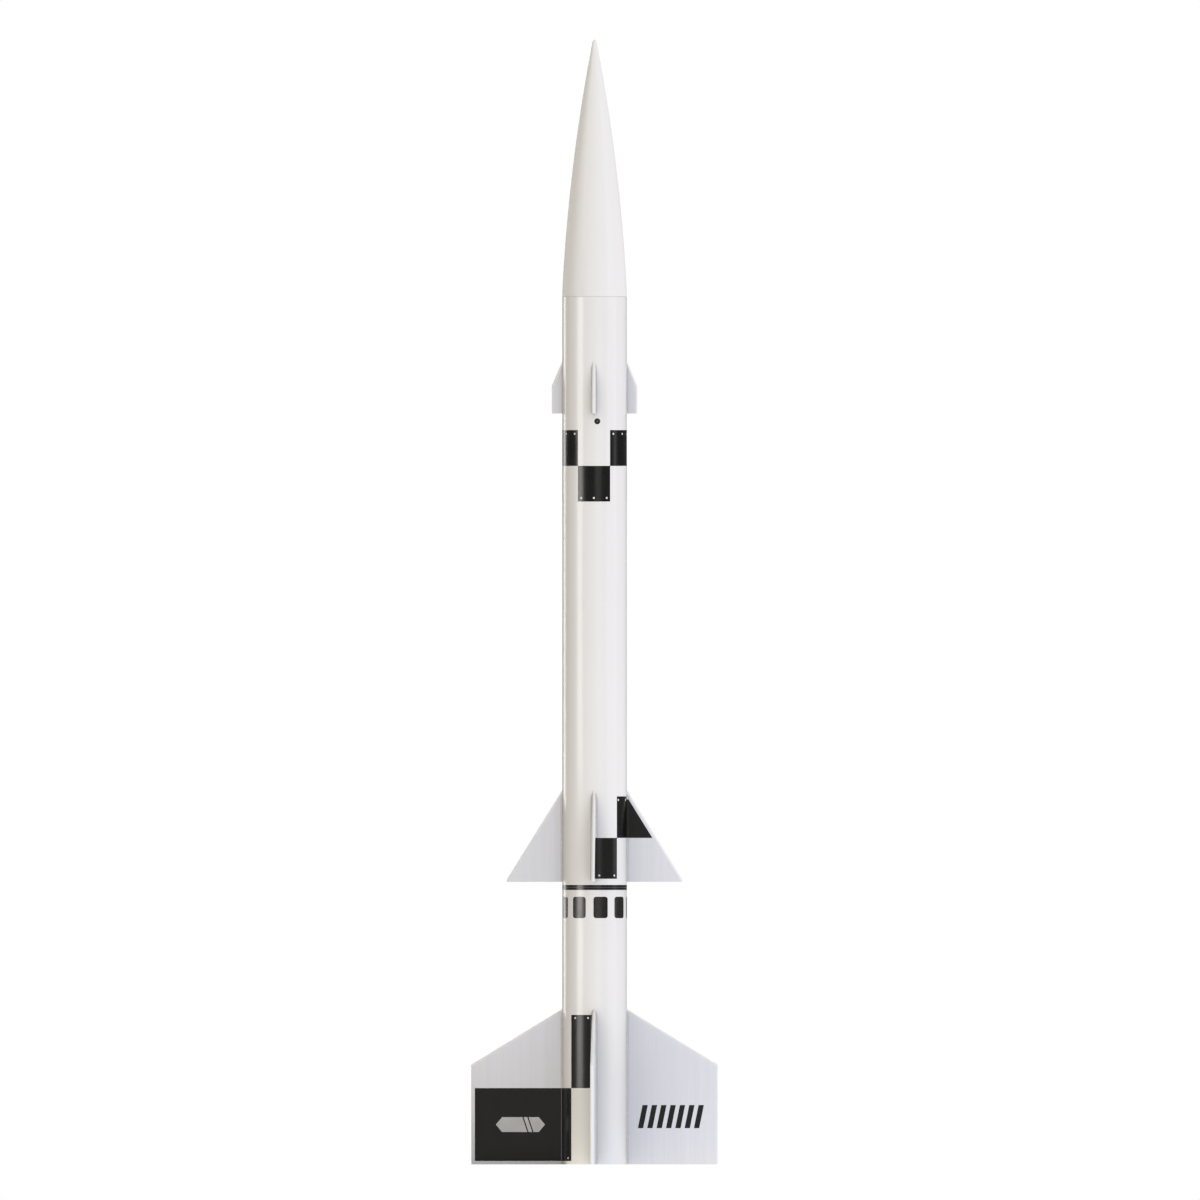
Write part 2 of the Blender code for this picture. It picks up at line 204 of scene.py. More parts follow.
def smooth_points(keys, count):
    """Points at even spacing on a Catmull-Rom curve through the keys."""
    ends = [keys[0] * 2 - keys[1], *keys, keys[-1] * 2 - keys[-2]]
    fine = [keys[0]]
    for a, b, c, d in zip(ends, ends[1:], ends[2:], ends[3:]):
        for step in range(1, 17):
            t = step / 16
            straight = b * 2 + (c - a) * t
            bent = (a * 2 - b * 5 + c * 4 - d) * t**2 + (b * 3 - a - c * 3 + d) * t**3
            fine.append((straight + bent) / 2)
    lengths = [0.0]
    for a, b in zip(fine, fine[1:]):
        lengths.append(lengths[-1] + (b - a).length)
    chosen, i = [], 0
    for k in range(count):
        want = lengths[-1] * k / (count - 1)
        while i < len(fine) - 2 and lengths[i + 1] < want:
            i += 1
        share = (want - lengths[i]) / (lengths[i + 1] - lengths[i])
        chosen.append(fine[i].lerp(fine[i + 1], share))
    return chosen


def length_of(path):
    return sum((b - a).length for a, b in zip(path, path[1:]))


# ---------------------------------------------------------------- materials


def join(tree, kind, inputs=(), **settings):
    """A shader node with its inputs set or linked."""
    made = tree.nodes.new("ShaderNode" + kind)
    for key, value in settings.items():
        setattr(made, key, value)
    for key, value in dict(inputs).items():
        if isinstance(value, bpy.types.NodeSocket):
            tree.links.new(value, made.inputs[key])
        else:
            made.inputs[key].default_value = value
    return made


class Look:
    """A Principled material put together step by step, patterned in the object's own metres."""

    def __init__(self, name, colour, roughness, **sockets):
        self.material = bpy.data.materials.new(name)
        self.material.use_nodes = True
        self.tree = self.material.node_tree
        self.shader = self.tree.nodes["Principled BSDF"]
        self.shader.inputs["Base Color"].default_value = (*colour, 1.0)
        self.shader.inputs["Roughness"].default_value = roughness
        for socket, value in sockets.items():
            self.shader.inputs[socket.replace("_", " ")].default_value = value
        self.normal = None

    def node(self, kind, inputs=(), **settings):
        return join(self.tree, kind, inputs, **settings)

    def place(self, scale=(1.0, 1.0, 1.0), source="Object"):
        """Coordinates in metres, or in the UV map's own lengths, times the scale."""
        spot = self.node("TexCoord").outputs[source]
        return self.node("Mapping", {"Vector": spot, "Scale": scale}).outputs["Vector"]

    def parts(self, source="Object"):
        """The X, Y and Z of those coordinates."""
        return self.node("SeparateXYZ", {"Vector": self.place(source=source)}).outputs

    def noise(self, scale, detail, roughness=0.55):
        inputs = {"Vector": self.place(scale), "Scale": 1.0, "Detail": detail, "Roughness": roughness}
        return self.node("TexNoise", inputs).outputs["Fac"]

    def field(self, pattern):
        """A socket as it is, or noise from a scale, or one for each axis, and its detail."""
        if not isinstance(pattern, tuple):
            return pattern
        scale, detail = pattern
        return self.noise(scale if isinstance(scale, tuple) else (scale,) * 3, detail)

    def math(self, operation, a, b=0.0):
        return self.node("Math", {0: a, 1: b}, operation=operation).outputs[0]

    def span(self, value, low, high, start=0.3, end=0.7):
        """Value from start to end, turned into low to high."""
        inputs = {"Value": value, "From Min": start, "From Max": end, "To Min": low, "To Max": high}
        return self.node("MapRange", inputs).outputs["Result"]

    def colours(self, value, first, second, start=0.3, end=0.7):
        ramp = self.node("ValToRGB", {"Fac": self.field(value)})
        for element, place, colour in zip(ramp.color_ramp.elements, (start, end), (first, second)):
            element.position = place
            element.color = (*colour, 1.0)
        self.tree.links.new(ramp.outputs["Color"], self.shader.inputs["Base Color"])

    def roughness(self, value, low, high):
        self.tree.links.new(self.span(self.field(value), low, high), self.shader.inputs["Roughness"])

    def bump(self, height, distance, strength):
        inputs = {"Height": self.field(height), "Distance": distance, "Strength": strength}
        if self.normal:
            inputs["Normal"] = self.normal
        self.normal = self.node("Bump", inputs).outputs["Normal"]
        self.tree.links.new(self.normal, self.shader.inputs["Normal"])

    def spiral(self, pitch, width):
        """1 along a helical seam about the vertical axis, 0 away from it."""
        parts = self.parts()
        turned = self.math("DIVIDE", self.math("ARCTAN2", parts["Y"], parts["X"]), math.tau)
        share = self.math("FRACT", self.math("ADD", turned, self.math("DIVIDE", parts["Z"], pitch)))
        away = self.math("ABSOLUTE", self.math("SUBTRACT", share, 0.5))
        return self.span(away, 1.0, 0.0, 0.0, width / pitch)

    def ridges(self, value, pitch):
        """Round ridges at that pitch along the value: 0 in the valleys and 1 on the crests."""
        return self.math("ABSOLUTE", self.math("SINE", self.math("MULTIPLY", value, math.pi / pitch)))


def tint(colour, factor):
    return tuple(c * factor for c in colour)


WHITE = (0.86, 0.855, 0.845)
# The fins' faces: the same white paint made darker and bluer as painted shade. Their edges keep WHITE as a
# painted highlight.
FIN_FACE_SHADE_WHITE = (0.77, 0.78, 0.825)
# Grey of the glue fillets: painted shade along the fin roots.
FILLET_SHADE_GREY = (0.60, 0.60, 0.61)


def painted_tube():
    """Glossy white enamel over a sealed paper tube: slow waviness and fine orange peel."""
    look = Look("painted_tube", WHITE, 0.2, Specular_IOR_Level=0.3)
    look.colours(((60, 60, 25), 4), tint(WHITE, 0.985), WHITE)
    look.roughness((300, 3), 0.17, 0.24)
    look.bump(look.spiral(62 * MM, 0.5 * MM), 0.004 * MM, 0.5)
    look.bump(((700, 700, 350), 2), 0.0012 * MM, 0.6)
    return look.material


def nose_paint():
    """Satin white on moulded plastic, duller than the tubes."""
    look = Look("nose_paint", WHITE, 0.5, Specular_IOR_Level=0.15)
    look.colours(((45, 45, 30), 4), tint(WHITE, 0.985), WHITE)
    look.roughness((500, 3), 0.46, 0.56)
    look.bump((1500, 3), 0.006 * MM, 0.6)
    return look.material


def painted_balsa(name, colour):
    """Satin white over balsa whose grain runs up the fin and still shows through the sealer."""
    look = Look(name, colour, 0.4, Specular_IOR_Level=0.3)
    grain = look.noise((520, 520, 9), 5, roughness=0.62)
    pores = look.noise((1900, 1900, 60), 3)
    look.colours(grain, tint(colour, 0.955), tint(colour, 1.01))
    look.roughness(pores, 0.36, 0.48)
    look.bump(grain, 0.05 * MM, 0.5)
    look.bump(pores, 0.015 * MM, 0.5)
    return look.material


def painted_glue():
    """The enamel over the beads of glue in the corners, painted greyer than the tube as painted shade
    along the fin roots.
    """
    look = Look("painted_glue", FILLET_SHADE_GREY, 0.3, Specular_IOR_Level=0.3)
    look.colours(((220, 220, 70), 4), tint(FILLET_SHADE_GREY, 0.94), tint(FILLET_SHADE_GREY, 1.04))
    look.roughness((300, 3), 0.24, 0.36)
    look.bump(((500, 500, 160), 2), 0.01 * MM, 0.6)
    return look.material


def bare_plastic():
    """Blown styrene as it comes, a little creamier than the paint."""
    look = Look("bare_plastic", (0.82, 0.81, 0.77), 0.32, Subsurface_Weight=0.05)
    look.colours(((120, 120, 40), 3), (0.80, 0.785, 0.74), (0.84, 0.83, 0.79))
    look.roughness(((700, 700, 300), 3), 0.28, 0.4)
    look.bump(((250, 250, 90), 2), 0.02 * MM, 0.5)
    return look.material


def card(name, dark, light, pitch):
    """Wound paper or card: fibres, a spiral seam and a dull, dry surface."""
    look = Look(name, light, 0.85, Specular_IOR_Level=0.25)
    fibres = look.noise((1400, 1400, 260), 5, roughness=0.7)
    look.colours(fibres, dark, light)
    look.roughness((400, 3), 0.78, 0.92)
    look.bump(look.spiral(pitch, 0.5 * MM), 0.08 * MM, 0.8)
    look.bump(fibres, 0.03 * MM, 0.7)
    return look.material


def paper():
    look = Look("paper", (0.80, 0.78, 0.72), 0.8)
    fibres = look.noise((900, 900, 900), 5, roughness=0.7)
    look.colours(fibres, (0.74, 0.72, 0.66), (0.82, 0.80, 0.745))
    look.roughness((500, 2), 0.72, 0.86)
    look.bump(fibres, 0.03 * MM, 0.7)
    return look.material


def film():
    """Yellowed clear tape, seen as a glossy translucent skin."""
    look = Look("film", (0.74, 0.70, 0.52), 0.25, Transmission_Weight=0.25, IOR=1.47)
    look.colours(((300, 300, 80), 3), (0.70, 0.66, 0.48), (0.77, 0.73, 0.56))
    look.roughness((600, 3), 0.2, 0.34)
    look.bump(((350, 350, 60), 3), 0.03 * MM, 0.6)
    return look.material


def spring_steel():
    """Tempered strip with rolling lines along it and a faint straw tint."""
    look = Look("spring_steel", (0.55, 0.54, 0.52), 0.3, Metallic=1.0)
    lines = look.noise((3000, 3000, 60), 3)
    look.colours(((160, 160, 60), 4), (0.47, 0.45, 0.42), (0.60, 0.60, 0.60))
    look.roughness(lines, 0.24, 0.42)
    look.bump(lines, 0.01 * MM, 0.6)
    return look.material


def braided_elastic():
    """Flat braid. The map runs in metres: along the cord and across it."""
    look = Look("braided_elastic", (0.78, 0.77, 0.72), 0.85, Sheen_Weight=0.3)
    parts = look.parts("UV")
    across = look.math("ABSOLUTE", parts["Y"])
    slant = look.math("ADD", parts["X"], look.math("MULTIPLY", across, 0.8))
    weave_and_groove_shade = look.math("MULTIPLY", look.ridges(slant, 0.8 * MM), look.ridges(parts["Y"], 0.5 * MM))
    # The colour darkens in the grooves between the strands: painted shade.
    look.colours(weave_and_groove_shade, (0.60, 0.585, 0.53), (0.82, 0.81, 0.765), 0.05, 0.7)
    look.roughness((900, 2), 0.8, 0.92)
    look.bump(weave_and_groove_shade, 0.12 * MM, 0.8)
    return look.material


def canopy_cloth():
    """Thin woven nylon in wide orange and white gores, as the folds lay them beside each other."""
    look = Look("canopy_cloth", (0.74, 0.15, 0.04), 0.5, Sheen_Weight=0.25, Sheen_Roughness=0.4)
    parts = look.parts("UV")
    gores = look.math("FRACT", look.math("DIVIDE", parts["X"], 152 * MM))
    look.colours(gores, (0.74, 0.15, 0.04), (0.80, 0.78, 0.74), 0.495, 0.505)
    warp, weft = (look.ridges(parts[axis], 0.4 * MM) for axis in "XY")
    look.roughness((500, 2), 0.42, 0.58)
    look.bump(look.math("MULTIPLY", warp, weft), 0.03 * MM, 0.6)
    return look.material


def twisted_thread():
    look = Look("line_thread", (0.80, 0.78, 0.72), 0.75, Sheen_Weight=0.2)
    parts = look.parts("UV")
    twist_and_groove_shade = look.ridges(look.math("ADD", parts["X"], parts["Y"]), 0.45 * MM)
    # The colour darkens in the grooves of the twist: painted shade.
    look.colours(twist_and_groove_shade, (0.60, 0.58, 0.52), (0.84, 0.82, 0.77), 0.0, 0.8)
    look.roughness((900, 2), 0.68, 0.82)
    look.bump(twist_and_groove_shade, 0.06 * MM, 0.8)
    return look.material


def decal(name, colour, roughness, specular):
    """Water-slide film over the paint: an even printed colour with a slightly uneven gloss."""
    look = Look(name, colour, roughness, Specular_IOR_Level=specular)
    look.colours((120, 3), tint(colour, 0.93), tint(colour, 1.05))
    look.roughness(((150, 150, 60), 2), roughness * 0.93, roughness * 1.1)
    look.bump(((200, 200, 60), 2), 0.0015 * MM, 0.5)
    return look.material


# ---------------------------------------------------------------- pieces


def link(name, data):
    """A new object in the scene."""
    obj = bpy.data.objects.new(name, data)
    bpy.context.scene.collection.objects.link(obj)
    return obj


def show(name, mesh, materials, body, slot, *nodes):
    """An object for the mesh, riding on its body in place of the CAD nodes it stands for."""
    obj = link(name, mesh)
    for material in materials if isinstance(materials, (list, tuple)) else [materials]:
        obj.data.materials.append(material)
    if body:
        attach(obj, body)
    if nodes:
        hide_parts(*nodes)
    return obj


def second_material(mesh, choose):
    """Gives the second material to the faces whose centre the test picks."""
    for face in mesh.polygons:
        if choose(face.center):
            face.material_index = 1


def combined(mesh, other, operation):
    """One mesh joined to, or cut by, another."""
    pair = [link("boolean_" + m.name, m) for m in (mesh, other)]
    modifier = pair[0].modifiers.new(operation, "BOOLEAN")
    modifier.object, modifier.operation = pair[1], operation
    bpy.context.view_layer.update()
    result = bpy.data.meshes.new_from_object(pair[0].evaluated_get(bpy.context.evaluated_depsgraph_get()))
    for obj in pair:
        bpy.data.objects.remove(obj)
    result.shade_smooth()
    result.set_sharp_from_angle(angle=math.radians(30))
    return result


# Nose cone: a long ogive that eases into the tube's line at its base.
NOSE_TIP_R = 1.03 * MM
NOSE_BULGE = 11.6 * MM
NOSE_BLEND = 8.0 * MM
NOSE_CAP = 1.2 * MM
NOSE_WALL = 1.2 * MM
NOSE_HOLLOW_TOP = 12.0 * MM
NOSE_STATIONS = 90
SHOULDER_R = 20.1 * MM
SEAM = 0.04 * MM  # half the line between two pieces that meet end to end


def nose_radius(z):
    growth = TUBE_R - NOSE_TIP_R
    raw_length = TIP_Z - NOSE_JOINT_Z - NOSE_BLEND / 2
    base_slope = (growth - NOSE_BULGE) / raw_length
    above = z - NOSE_JOINT_Z
    if above < NOSE_BLEND:
        return TUBE_R - base_slope * max(above, 0.0) ** 2 / (2 * NOSE_BLEND)
    t = (TIP_Z - z) / raw_length
    return NOSE_TIP_R + growth * t + NOSE_BULGE * t * (1 - t)


def nose_cone(paint, plastic):
    shelf = NOSE_JOINT_Z + SEAM
    cap_base = TIP_Z - NOSE_CAP
    hollow_top = TIP_Z - NOSE_HOLLOW_TOP
    edge = 0.1 * MM
    outline = []
    for k in range(9):
        tip = polar(1.0, 90 - 90 * k / 9)
        outline.append((nose_radius(cap_base) * tip.x, cap_base + NOSE_CAP * tip.y))
    for k in range(NOSE_STATIONS + 1):
        z = cap_base + (shelf + edge - cap_base) * (k / NOSE_STATIONS) ** 1.1
        outline.append((nose_radius(z), z))
    for k in range(1, 5):
        round_edge = Vector((nose_radius(shelf) - edge, shelf + edge)) + polar(edge, -90 * k / 4)
        outline.append(tuple(round_edge))
    outline += [(r, z) for r, z in rounded([
        (SHOULDER_R, shelf, 0.1 * MM),
        (SHOULDER_R, NOSE_BOTTOM_Z + 1.2 * MM, 0.8 * MM),
        (SHOULDER_R - 0.4 * MM, NOSE_BOTTOM_Z, 0.15 * MM),
        (SHOULDER_R - NOSE_WALL, NOSE_BOTTOM_Z, 0.2 * MM),
        (SHOULDER_R - NOSE_WALL, NOSE_JOINT_Z - 0.1 * MM, 0.0),
    ])]
    for k in range(1, 40):
        z = NOSE_JOINT_Z + (hollow_top - NOSE_JOINT_Z) * k / 40
        outline.append((nose_radius(z) - NOSE_WALL, z))
    outline.append((0.0, hollow_top))
    mesh = Solid().turn(outline).mesh("nose_cone_shell", 40)
    second_material(mesh, lambda c: c.z < shelf - 0.001 * MM or c.xy.length < nose_radius(c.z) - 0.7 * MM)
    return show("nose_cone_shell", mesh, [paint, plastic], "nose", "nose_plastic", "nose_cone")


def nose_plug(plastic):
    """A cup closing the shoulder, with the moulded eyelet under its floor."""
    outer = SHOULDER_R - NOSE_WALL - 0.2 * MM
    inner = outer - NOSE_WALL
    bottom, floor, top = NOSE_BOTTOM_Z, NOSE_BOTTOM_Z + 1.6 * MM, NOSE_BOTTOM_Z + 5.7 * MM
    outline = rounded([
        (0.0, bottom, 0.0),
        (0.0, floor, 0.0),
        (inner, floor, 0.5 * MM),
        (inner, top, 0.3 * MM),
        (outer, top, 0.3 * MM),
        (outer, bottom, 0.4 * MM),
    ])
    cup = Solid().turn(outline, 96).mesh("nose_base_plug")
    eyelet_r, wire_r, drop = 3.3 * MM, 0.9 * MM, 3.0 * MM
    eyelet = Solid()
    rings = []
    for k in range(49):
        turn = math.tau * k / 48
        out = Vector((math.cos(turn), 0, math.sin(turn)))
        centre = Vector((0, 0, bottom - drop)) + out * eyelet_r
        rings.append([centre + out * a + Vector((0, b, 0)) for a, b in circle(wire_r, 20)])
    eyelet.loft(rings, closed_ends=False)
    mesh = combined(cup, eyelet.mesh("eyelet"), "UNION")
    mesh.name = "nose_base_plug"
    return show("nose_base_plug", mesh, plastic, "nose", "nose_plastic", "nose_cone_plug")


def body_tube(name, node, paint, kraft):
    low, high = node_low(node).z, node_high(node).z
    joints = [0.0, STAGE_JOINT_Z - SEAM, STAGE_JOINT_Z + SEAM, NOSE_JOINT_Z - SEAM]
    low, high = (min(joints, key=lambda z: abs(z - end)) for end in (low, high))
    mesh = Solid().turn(ring_outline(TUBE_BORE_R, TUBE_R, low, high, 0.1 * MM)).mesh(name, 40)
    second_material(mesh, lambda c: c.xy.length < TUBE_R - 0.2 * MM)
    return show(name, mesh, [paint, kraft], "airframe", "painted_tube", node)


# Fins. Outlines in the fin's own plane: (distance from the axis, height), root top to root bottom.
SIDES = {"right": 0, "rear": 90, "left": 180, "front": 270}  # polar
EDGE_REACH = {"canard": 1.5 * MM, "upper_fin": 2.0 * MM, "lower_fin": 2.0 * MM}
TIP_REACH = 0.9 * MM
EDGE_STEPS = 10


def fin_corners(kind):
    """Root top, tip top, tip bottom and root bottom of the fin, from its node's box."""
    tip_tops = {"canard": 502.6 * MM, "upper_fin": 183.9 * MM, "lower_fin": 64.4 * MM}
    low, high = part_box(kind + "_right")
    corners = (TUBE_R, high.z), (high.x, tip_tops[kind]), (high.x, low.z), (TUBE_R, low.z)
    return [Vector(corner) for corner in corners]


def leading_height(kind, x, inset=0.0):
    """Height of the leading edge, or of the line that far inside it, at a distance from the axis."""
    top, tip = fin_corners(kind)[:2]
    run = tip - top
    return top.y + (x - top.x) * run.y / run.x - inset * run.length / run.x


def fin_solid(kind):
    """A fin with an oval leading edge, a rounded tip and a square trailing edge."""
    low, high = fin_corners(kind)[3].y, fin_corners(kind)[1]
    half = FIN_THICKNESS / 2
    run = high - fin_corners(kind)[0]
    fall = -run.x / run.y  # how far out the leading edge goes for each unit that it falls
    verts, faces, rings = [], [], []
    for k in range(EDGE_STEPS + 1):
        turn = math.radians(90 * k / EDGE_STEPS)
        edge, tip = EDGE_REACH[kind] * (1 - math.cos(turn)), TIP_REACH * (1 - math.cos(turn))
        width = half * math.sin(turn)
        root_x = math.sqrt(TUBE_R**2 - width**2)
        tip_x = high.x - tip
        tip_z = leading_height(kind, tip_x, edge)
        if tip_z < low:
            tip_x -= (low - tip_z) * fall
            tip_z = low
        spots = [(root_x, leading_height(kind, root_x, edge)), (tip_x, tip_z), (tip_x, low)]
        ring = {}
        for side in (1, -1):
            ring[side] = range(len(verts), len(verts) + 3)
            verts += [(x, side * width, z) for x, z in spots]
        rings.append(ring)
    foot = {}
    for side in (1, -1):
        foot[side] = len(verts)
        verts.append((math.sqrt(TUBE_R**2 - half**2), side * half, low))
        for outer, inner in zip(rings, rings[1:]):
            for a in (0, 1):
                faces.append((outer[side][a], outer[side][a + 1], inner[side][a + 1], inner[side][a]))
        faces.append((*rings[-1][side], foot[side]))
    for a in (0, 2):
        near = [ring[1][a] for ring in rings]
        far = [ring[-1][a] for ring in rings[:0:-1]]
        faces.append((*near, foot[1], foot[-1], *far))
    return Solid().add(verts, faces)


def about_axis(degrees):
    return Matrix.Rotation(math.radians(degrees), 4, "Z")


def fins(balsa, edge_highlight_paint):
    names = {"canard": "canard", "upper_fin": "upper_stage_fin", "lower_fin": "lower_stage_fin"}
    for kind, name in names.items():
        made = fin_solid(kind)
        for side, angle in SIDES.items():
            turned = Solid().add(made.verts, made.faces, about_axis(angle))
            piece = f"{name}_{side}_balsa"
            mesh = turned.mesh(piece)
            for face in mesh.polygons:
                across = about_axis(-angle) @ face.normal
                # Faces other than the fin's two broad sides take the whiter paint: a painted highlight on
                # the edges.
                if abs(across.y) < 0.9:
                    face.material_index = 1
            show(piece, mesh, [balsa, edge_highlight_paint], "airframe", "painted_balsa", f"{kind}_{side}")


# Glue fillets, drawn in the fin's own frame: the fin lies along +X, its sides face +Y and -Y.
FILLET_R = {"canard": 0.9 * MM, "upper_fin": 1.3 * MM, "lower_fin": 1.3 * MM}
FILLET_STEPS = 8


def fillet_arc(radius, side, raised=0.0):
    """The fillet's hollow curve, from the tube to the fin, at (x, y)."""
    across = FIN_THICKNESS / 2 + radius
    centre = Vector((math.sqrt((TUBE_R + radius) ** 2 - across**2), across))
    reach = radius - raised
    to_tube, to_fin = (-centre).normalized() * reach, Vector((0, -1)) * reach
    return [(p.x, side * p.y) for p in arc_points(centre, to_tube, to_fin, FILLET_STEPS)]


def fillet_angle(kind):
    """Angle from the fin's plane at which its fillet meets the tube."""
    return math.degrees(math.asin((FIN_THICKNESS / 2 + FILLET_R[kind]) / (TUBE_R + FILLET_R[kind])))


def fillet(solid, kind, side, place):
    """A bead of glue in the corner, fading out at both ends."""
    bottom = fin_corners(kind)[3].y
    top = leading_height(kind, TUBE_R, EDGE_REACH[kind] * 0.6)
    fade = 4.0 * MM
    rings = []
    levels = [bottom + fade * (k / 6) ** 2 for k in range(6)]
    levels += [bottom + fade + (top - bottom - 2 * fade) * k / 12 for k in range(13)]
    levels += [top - fade * (1 - k / 6) ** 1.5 for k in range(1, 7)]
    for z in levels:
        # The bead thins to two thirds at the fin's foot and to an eighth at its top.
        lift = 0.35 + 0.65 * math.sin(math.pi / 2 * min(1.0, (z - bottom) / fade + 0.35))
        drop = 0.12 + 0.88 * math.sin(math.pi / 2 * min(1.0, (top - z) / fade))
        radius = FILLET_R[kind] * min(lift, drop)
        arc = fillet_arc(radius, side)
        half = side * FIN_THICKNESS / 2
        corner = (math.sqrt(TUBE_R**2 - half**2) - 0.02 * MM, half - side * 0.02 * MM)
        rings.append([(x, y, z) for x, y in [*arc, corner]])
    solid.loft(rings, place=place)


def fillets(paint):
    # The paint given here is the grey painted shade along each fin root.
    for kind in FILLET_R:
        name = kind + "_glue_fillets"
        solid = Solid()
        for angle in SIDES.values():
            for side in (1, -1):
                fillet(solid, kind, side, about_axis(angle))
        show(name, solid.mesh(name, 40), paint, "airframe", "painted_tube")


# Launch lugs, on the rear left.
LUG_POLAR = 135
LUG_WALL = 0.3 * MM
LUG_GLUE_R = 1.3 * MM
LUG_GLUE_STEPS = 24


def launch_lugs(paint, kraft):
    for node in ("launch_lug_upper", "launch_lug_lower"):
        low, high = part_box(node)
        centre, lug_r = (low + high) / 2, (high.x - low.x) / 2
        name = node.replace("launch_lug", "launch_lug_tube")
        outline = ring_outline(lug_r - LUG_WALL, lug_r, low.z, high.z, 0.08 * MM)
        mesh = Solid().turn(outline, 64, centre.xy).mesh(name, 40)
        reach = lug_r - 0.15 * MM
        second_material(mesh, lambda c: (c.xy - centre.xy).length < reach)
        show(name, mesh, [paint, kraft], "airframe", "painted_tube", node)
        lug_fillet(name.replace("tube", "glue"), centre, lug_r, low.z, high.z, paint)


def lug_fillet(name, centre, lug_r, bottom, top, paint):
    """Glue that fills the valley on both sides between the lug and the tube."""
    distance = centre.xy.length
    lug = polar(distance, LUG_POLAR)
    rings = []
    for k in range(LUG_GLUE_STEPS + 1):
        share = k / LUG_GLUE_STEPS
        z = bottom + (top - bottom) * share
        fade = math.sin(math.radians(90) * min(1, 6 * min(share, 1 - share)))
        bead = LUG_GLUE_R * (0.55 + 0.45 * fade)
        reach = TUBE_R + bead
        cosine = (reach**2 + distance**2 - (lug_r + bead) ** 2) / (2 * reach * distance)
        swing = math.degrees(math.acos(cosine))
        outline = [polar(TUBE_R, LUG_POLAR + swing * (j / 6 * 2 - 1)) for j in range(7)]
        for sign in (1, -1):
            middle = polar(reach, LUG_POLAR + sign * swing)
            to_tube, to_lug = -middle.normalized() * bead, (lug - middle).normalized() * bead
            outline += list(arc_points(middle, to_tube, to_lug, 6))[1:][::sign]
            if sign == 1:
                outline.append(lug - lug.normalized() * lug_r)
        rings.append([(p.x, p.y, z) for p in outline])
    show(name, Solid().loft(rings).mesh(name, 50), paint, "airframe", "painted_tube")


# Engine mount.
ENGINE_TUBE_WALL = 0.33 * MM
RING_BORE_R = 12.65 * MM
BLOCK_BORE_R = 10.2 * MM
COUPLER_BORE_R = 19.7 * MM
BAND_WALL = 0.5 * MM
HOOK_TOP = 76.4 * MM  # the middle of the hook's forward tab and of its slit
# The middle line of the hook: distance from the axis, height and bend radius.
HOOK_LINE = [
    (9.7 * MM, HOOK_TOP, 0.0),
    (13.2 * MM, HOOK_TOP, 0.9 * MM),
    (13.2 * MM, 5.3 * MM, 0.9 * MM),
    (10.4 * MM, 5.3 * MM, 0.8 * MM),
    (11.6 * MM, 1.6 * MM, 0.0),
]


def box_mesh(name, low, high):
    verts = [(x, y, z) for x in (low[0], high[0]) for y in (low[1], high[1]) for z in (low[2], high[2])]
    faces = [(0, 1, 3, 2), (4, 6, 7, 5), (0, 4, 5, 1), (2, 3, 7, 6), (0, 2, 6, 4), (1, 5, 7, 3)]
    return mesh_from(name, verts, faces)


def ring_mesh(name, node, bore_r, edge, facets=FACETS, smooth_angle=30.0):
    """A ring about the rocket's axis, as tall and as wide as its node."""
    low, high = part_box(node)
    outline = ring_outline(bore_r, high.y, low.z, high.z, edge)
    return Solid().turn(outline, facets).mesh(name, smooth_angle)


def engine_mount(kraft, grey, tape):
    outer = node_high("engine_tube").y
    tube = ring_mesh("engine_tube_card", "engine_tube", outer - ENGINE_TUBE_WALL, 0.1 * MM, 96)
    slit_low = (outer - 1.2 * MM, -1.95 * MM, HOOK_TOP - 0.75 * MM)
    slit_high = (outer + 1.2 * MM, 1.95 * MM, HOOK_TOP + 0.75 * MM)
    mesh = combined(tube, box_mesh("slit", slit_low, slit_high), "DIFFERENCE")
    show("engine_tube_card", mesh, kraft, "airframe", "kraft_card", "engine_tube")

    for node in ("centring_ring_forward", "centring_ring_aft"):
        name = node + "_card"
        mesh = ring_mesh(name, node, RING_BORE_R, 0.15 * MM)
        if node.endswith("aft"):
            bottom = node_low(node).z
            notch_low = (12.0 * MM, -2.6 * MM, bottom - 2 * MM)
            notch_high = (17.4 * MM, 2.6 * MM, bottom + 4 * MM)
            mesh = combined(mesh, box_mesh("notch", notch_low, notch_high), "DIFFERENCE")
        show(name, mesh, kraft, "airframe", "kraft_card", node)

    mesh = ring_mesh("engine_block_ring", "engine_block", BLOCK_BORE_R, 0.25 * MM, 96)
    show("engine_block_ring", mesh, grey, "airframe", "grey_card", "engine_block")

    low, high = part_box("hook_retaining_ring")
    centre, band_r = (low + high) / 2, (high.y - low.y) / 2
    outline = ring_outline(band_r - BAND_WALL, band_r, low.z, high.z, 0.12 * MM)
    mesh = Solid().turn(outline, 96, centre.xy).mesh("hook_retaining_band")
    show("hook_retaining_band", mesh, tape, "airframe", "film", "hook_retaining_ring")

    mesh = ring_mesh("tube_coupler_card", "tube_coupler", COUPLER_BORE_R, 0.12 * MM, smooth_angle=40)
    show("tube_coupler_card", mesh, kraft, "airframe", "kraft_card", "tube_coupler")


def engine_hook(steel):
    """A spring strip whose middle line bends by arcs, with rounded long edges."""
    half, width, edge = 0.4 * MM, 3.2 * MM, 0.15 * MM
    corners = [(x * half, y * width / 2, edge) for x, y in ((-1, -1), (1, -1), (1, 1), (-1, 1))]
    section = [(b, a) for a, b in rounded(corners, 3)]
    line = [Vector((p.x, 0, p.y)) for p in rounded(HOOK_LINE, steps=8)]
    solid = Solid().tube(line, section, side=lambda here, run: Vector((0, 1, 0)))
    mesh = solid.mesh("engine_hook_spring", 35)
    show("engine_hook_spring", mesh, steel, "hook", "spring_steel", "engine_hook")


# Recovery gear.
PAD_SWEEP = 52.5  # degrees


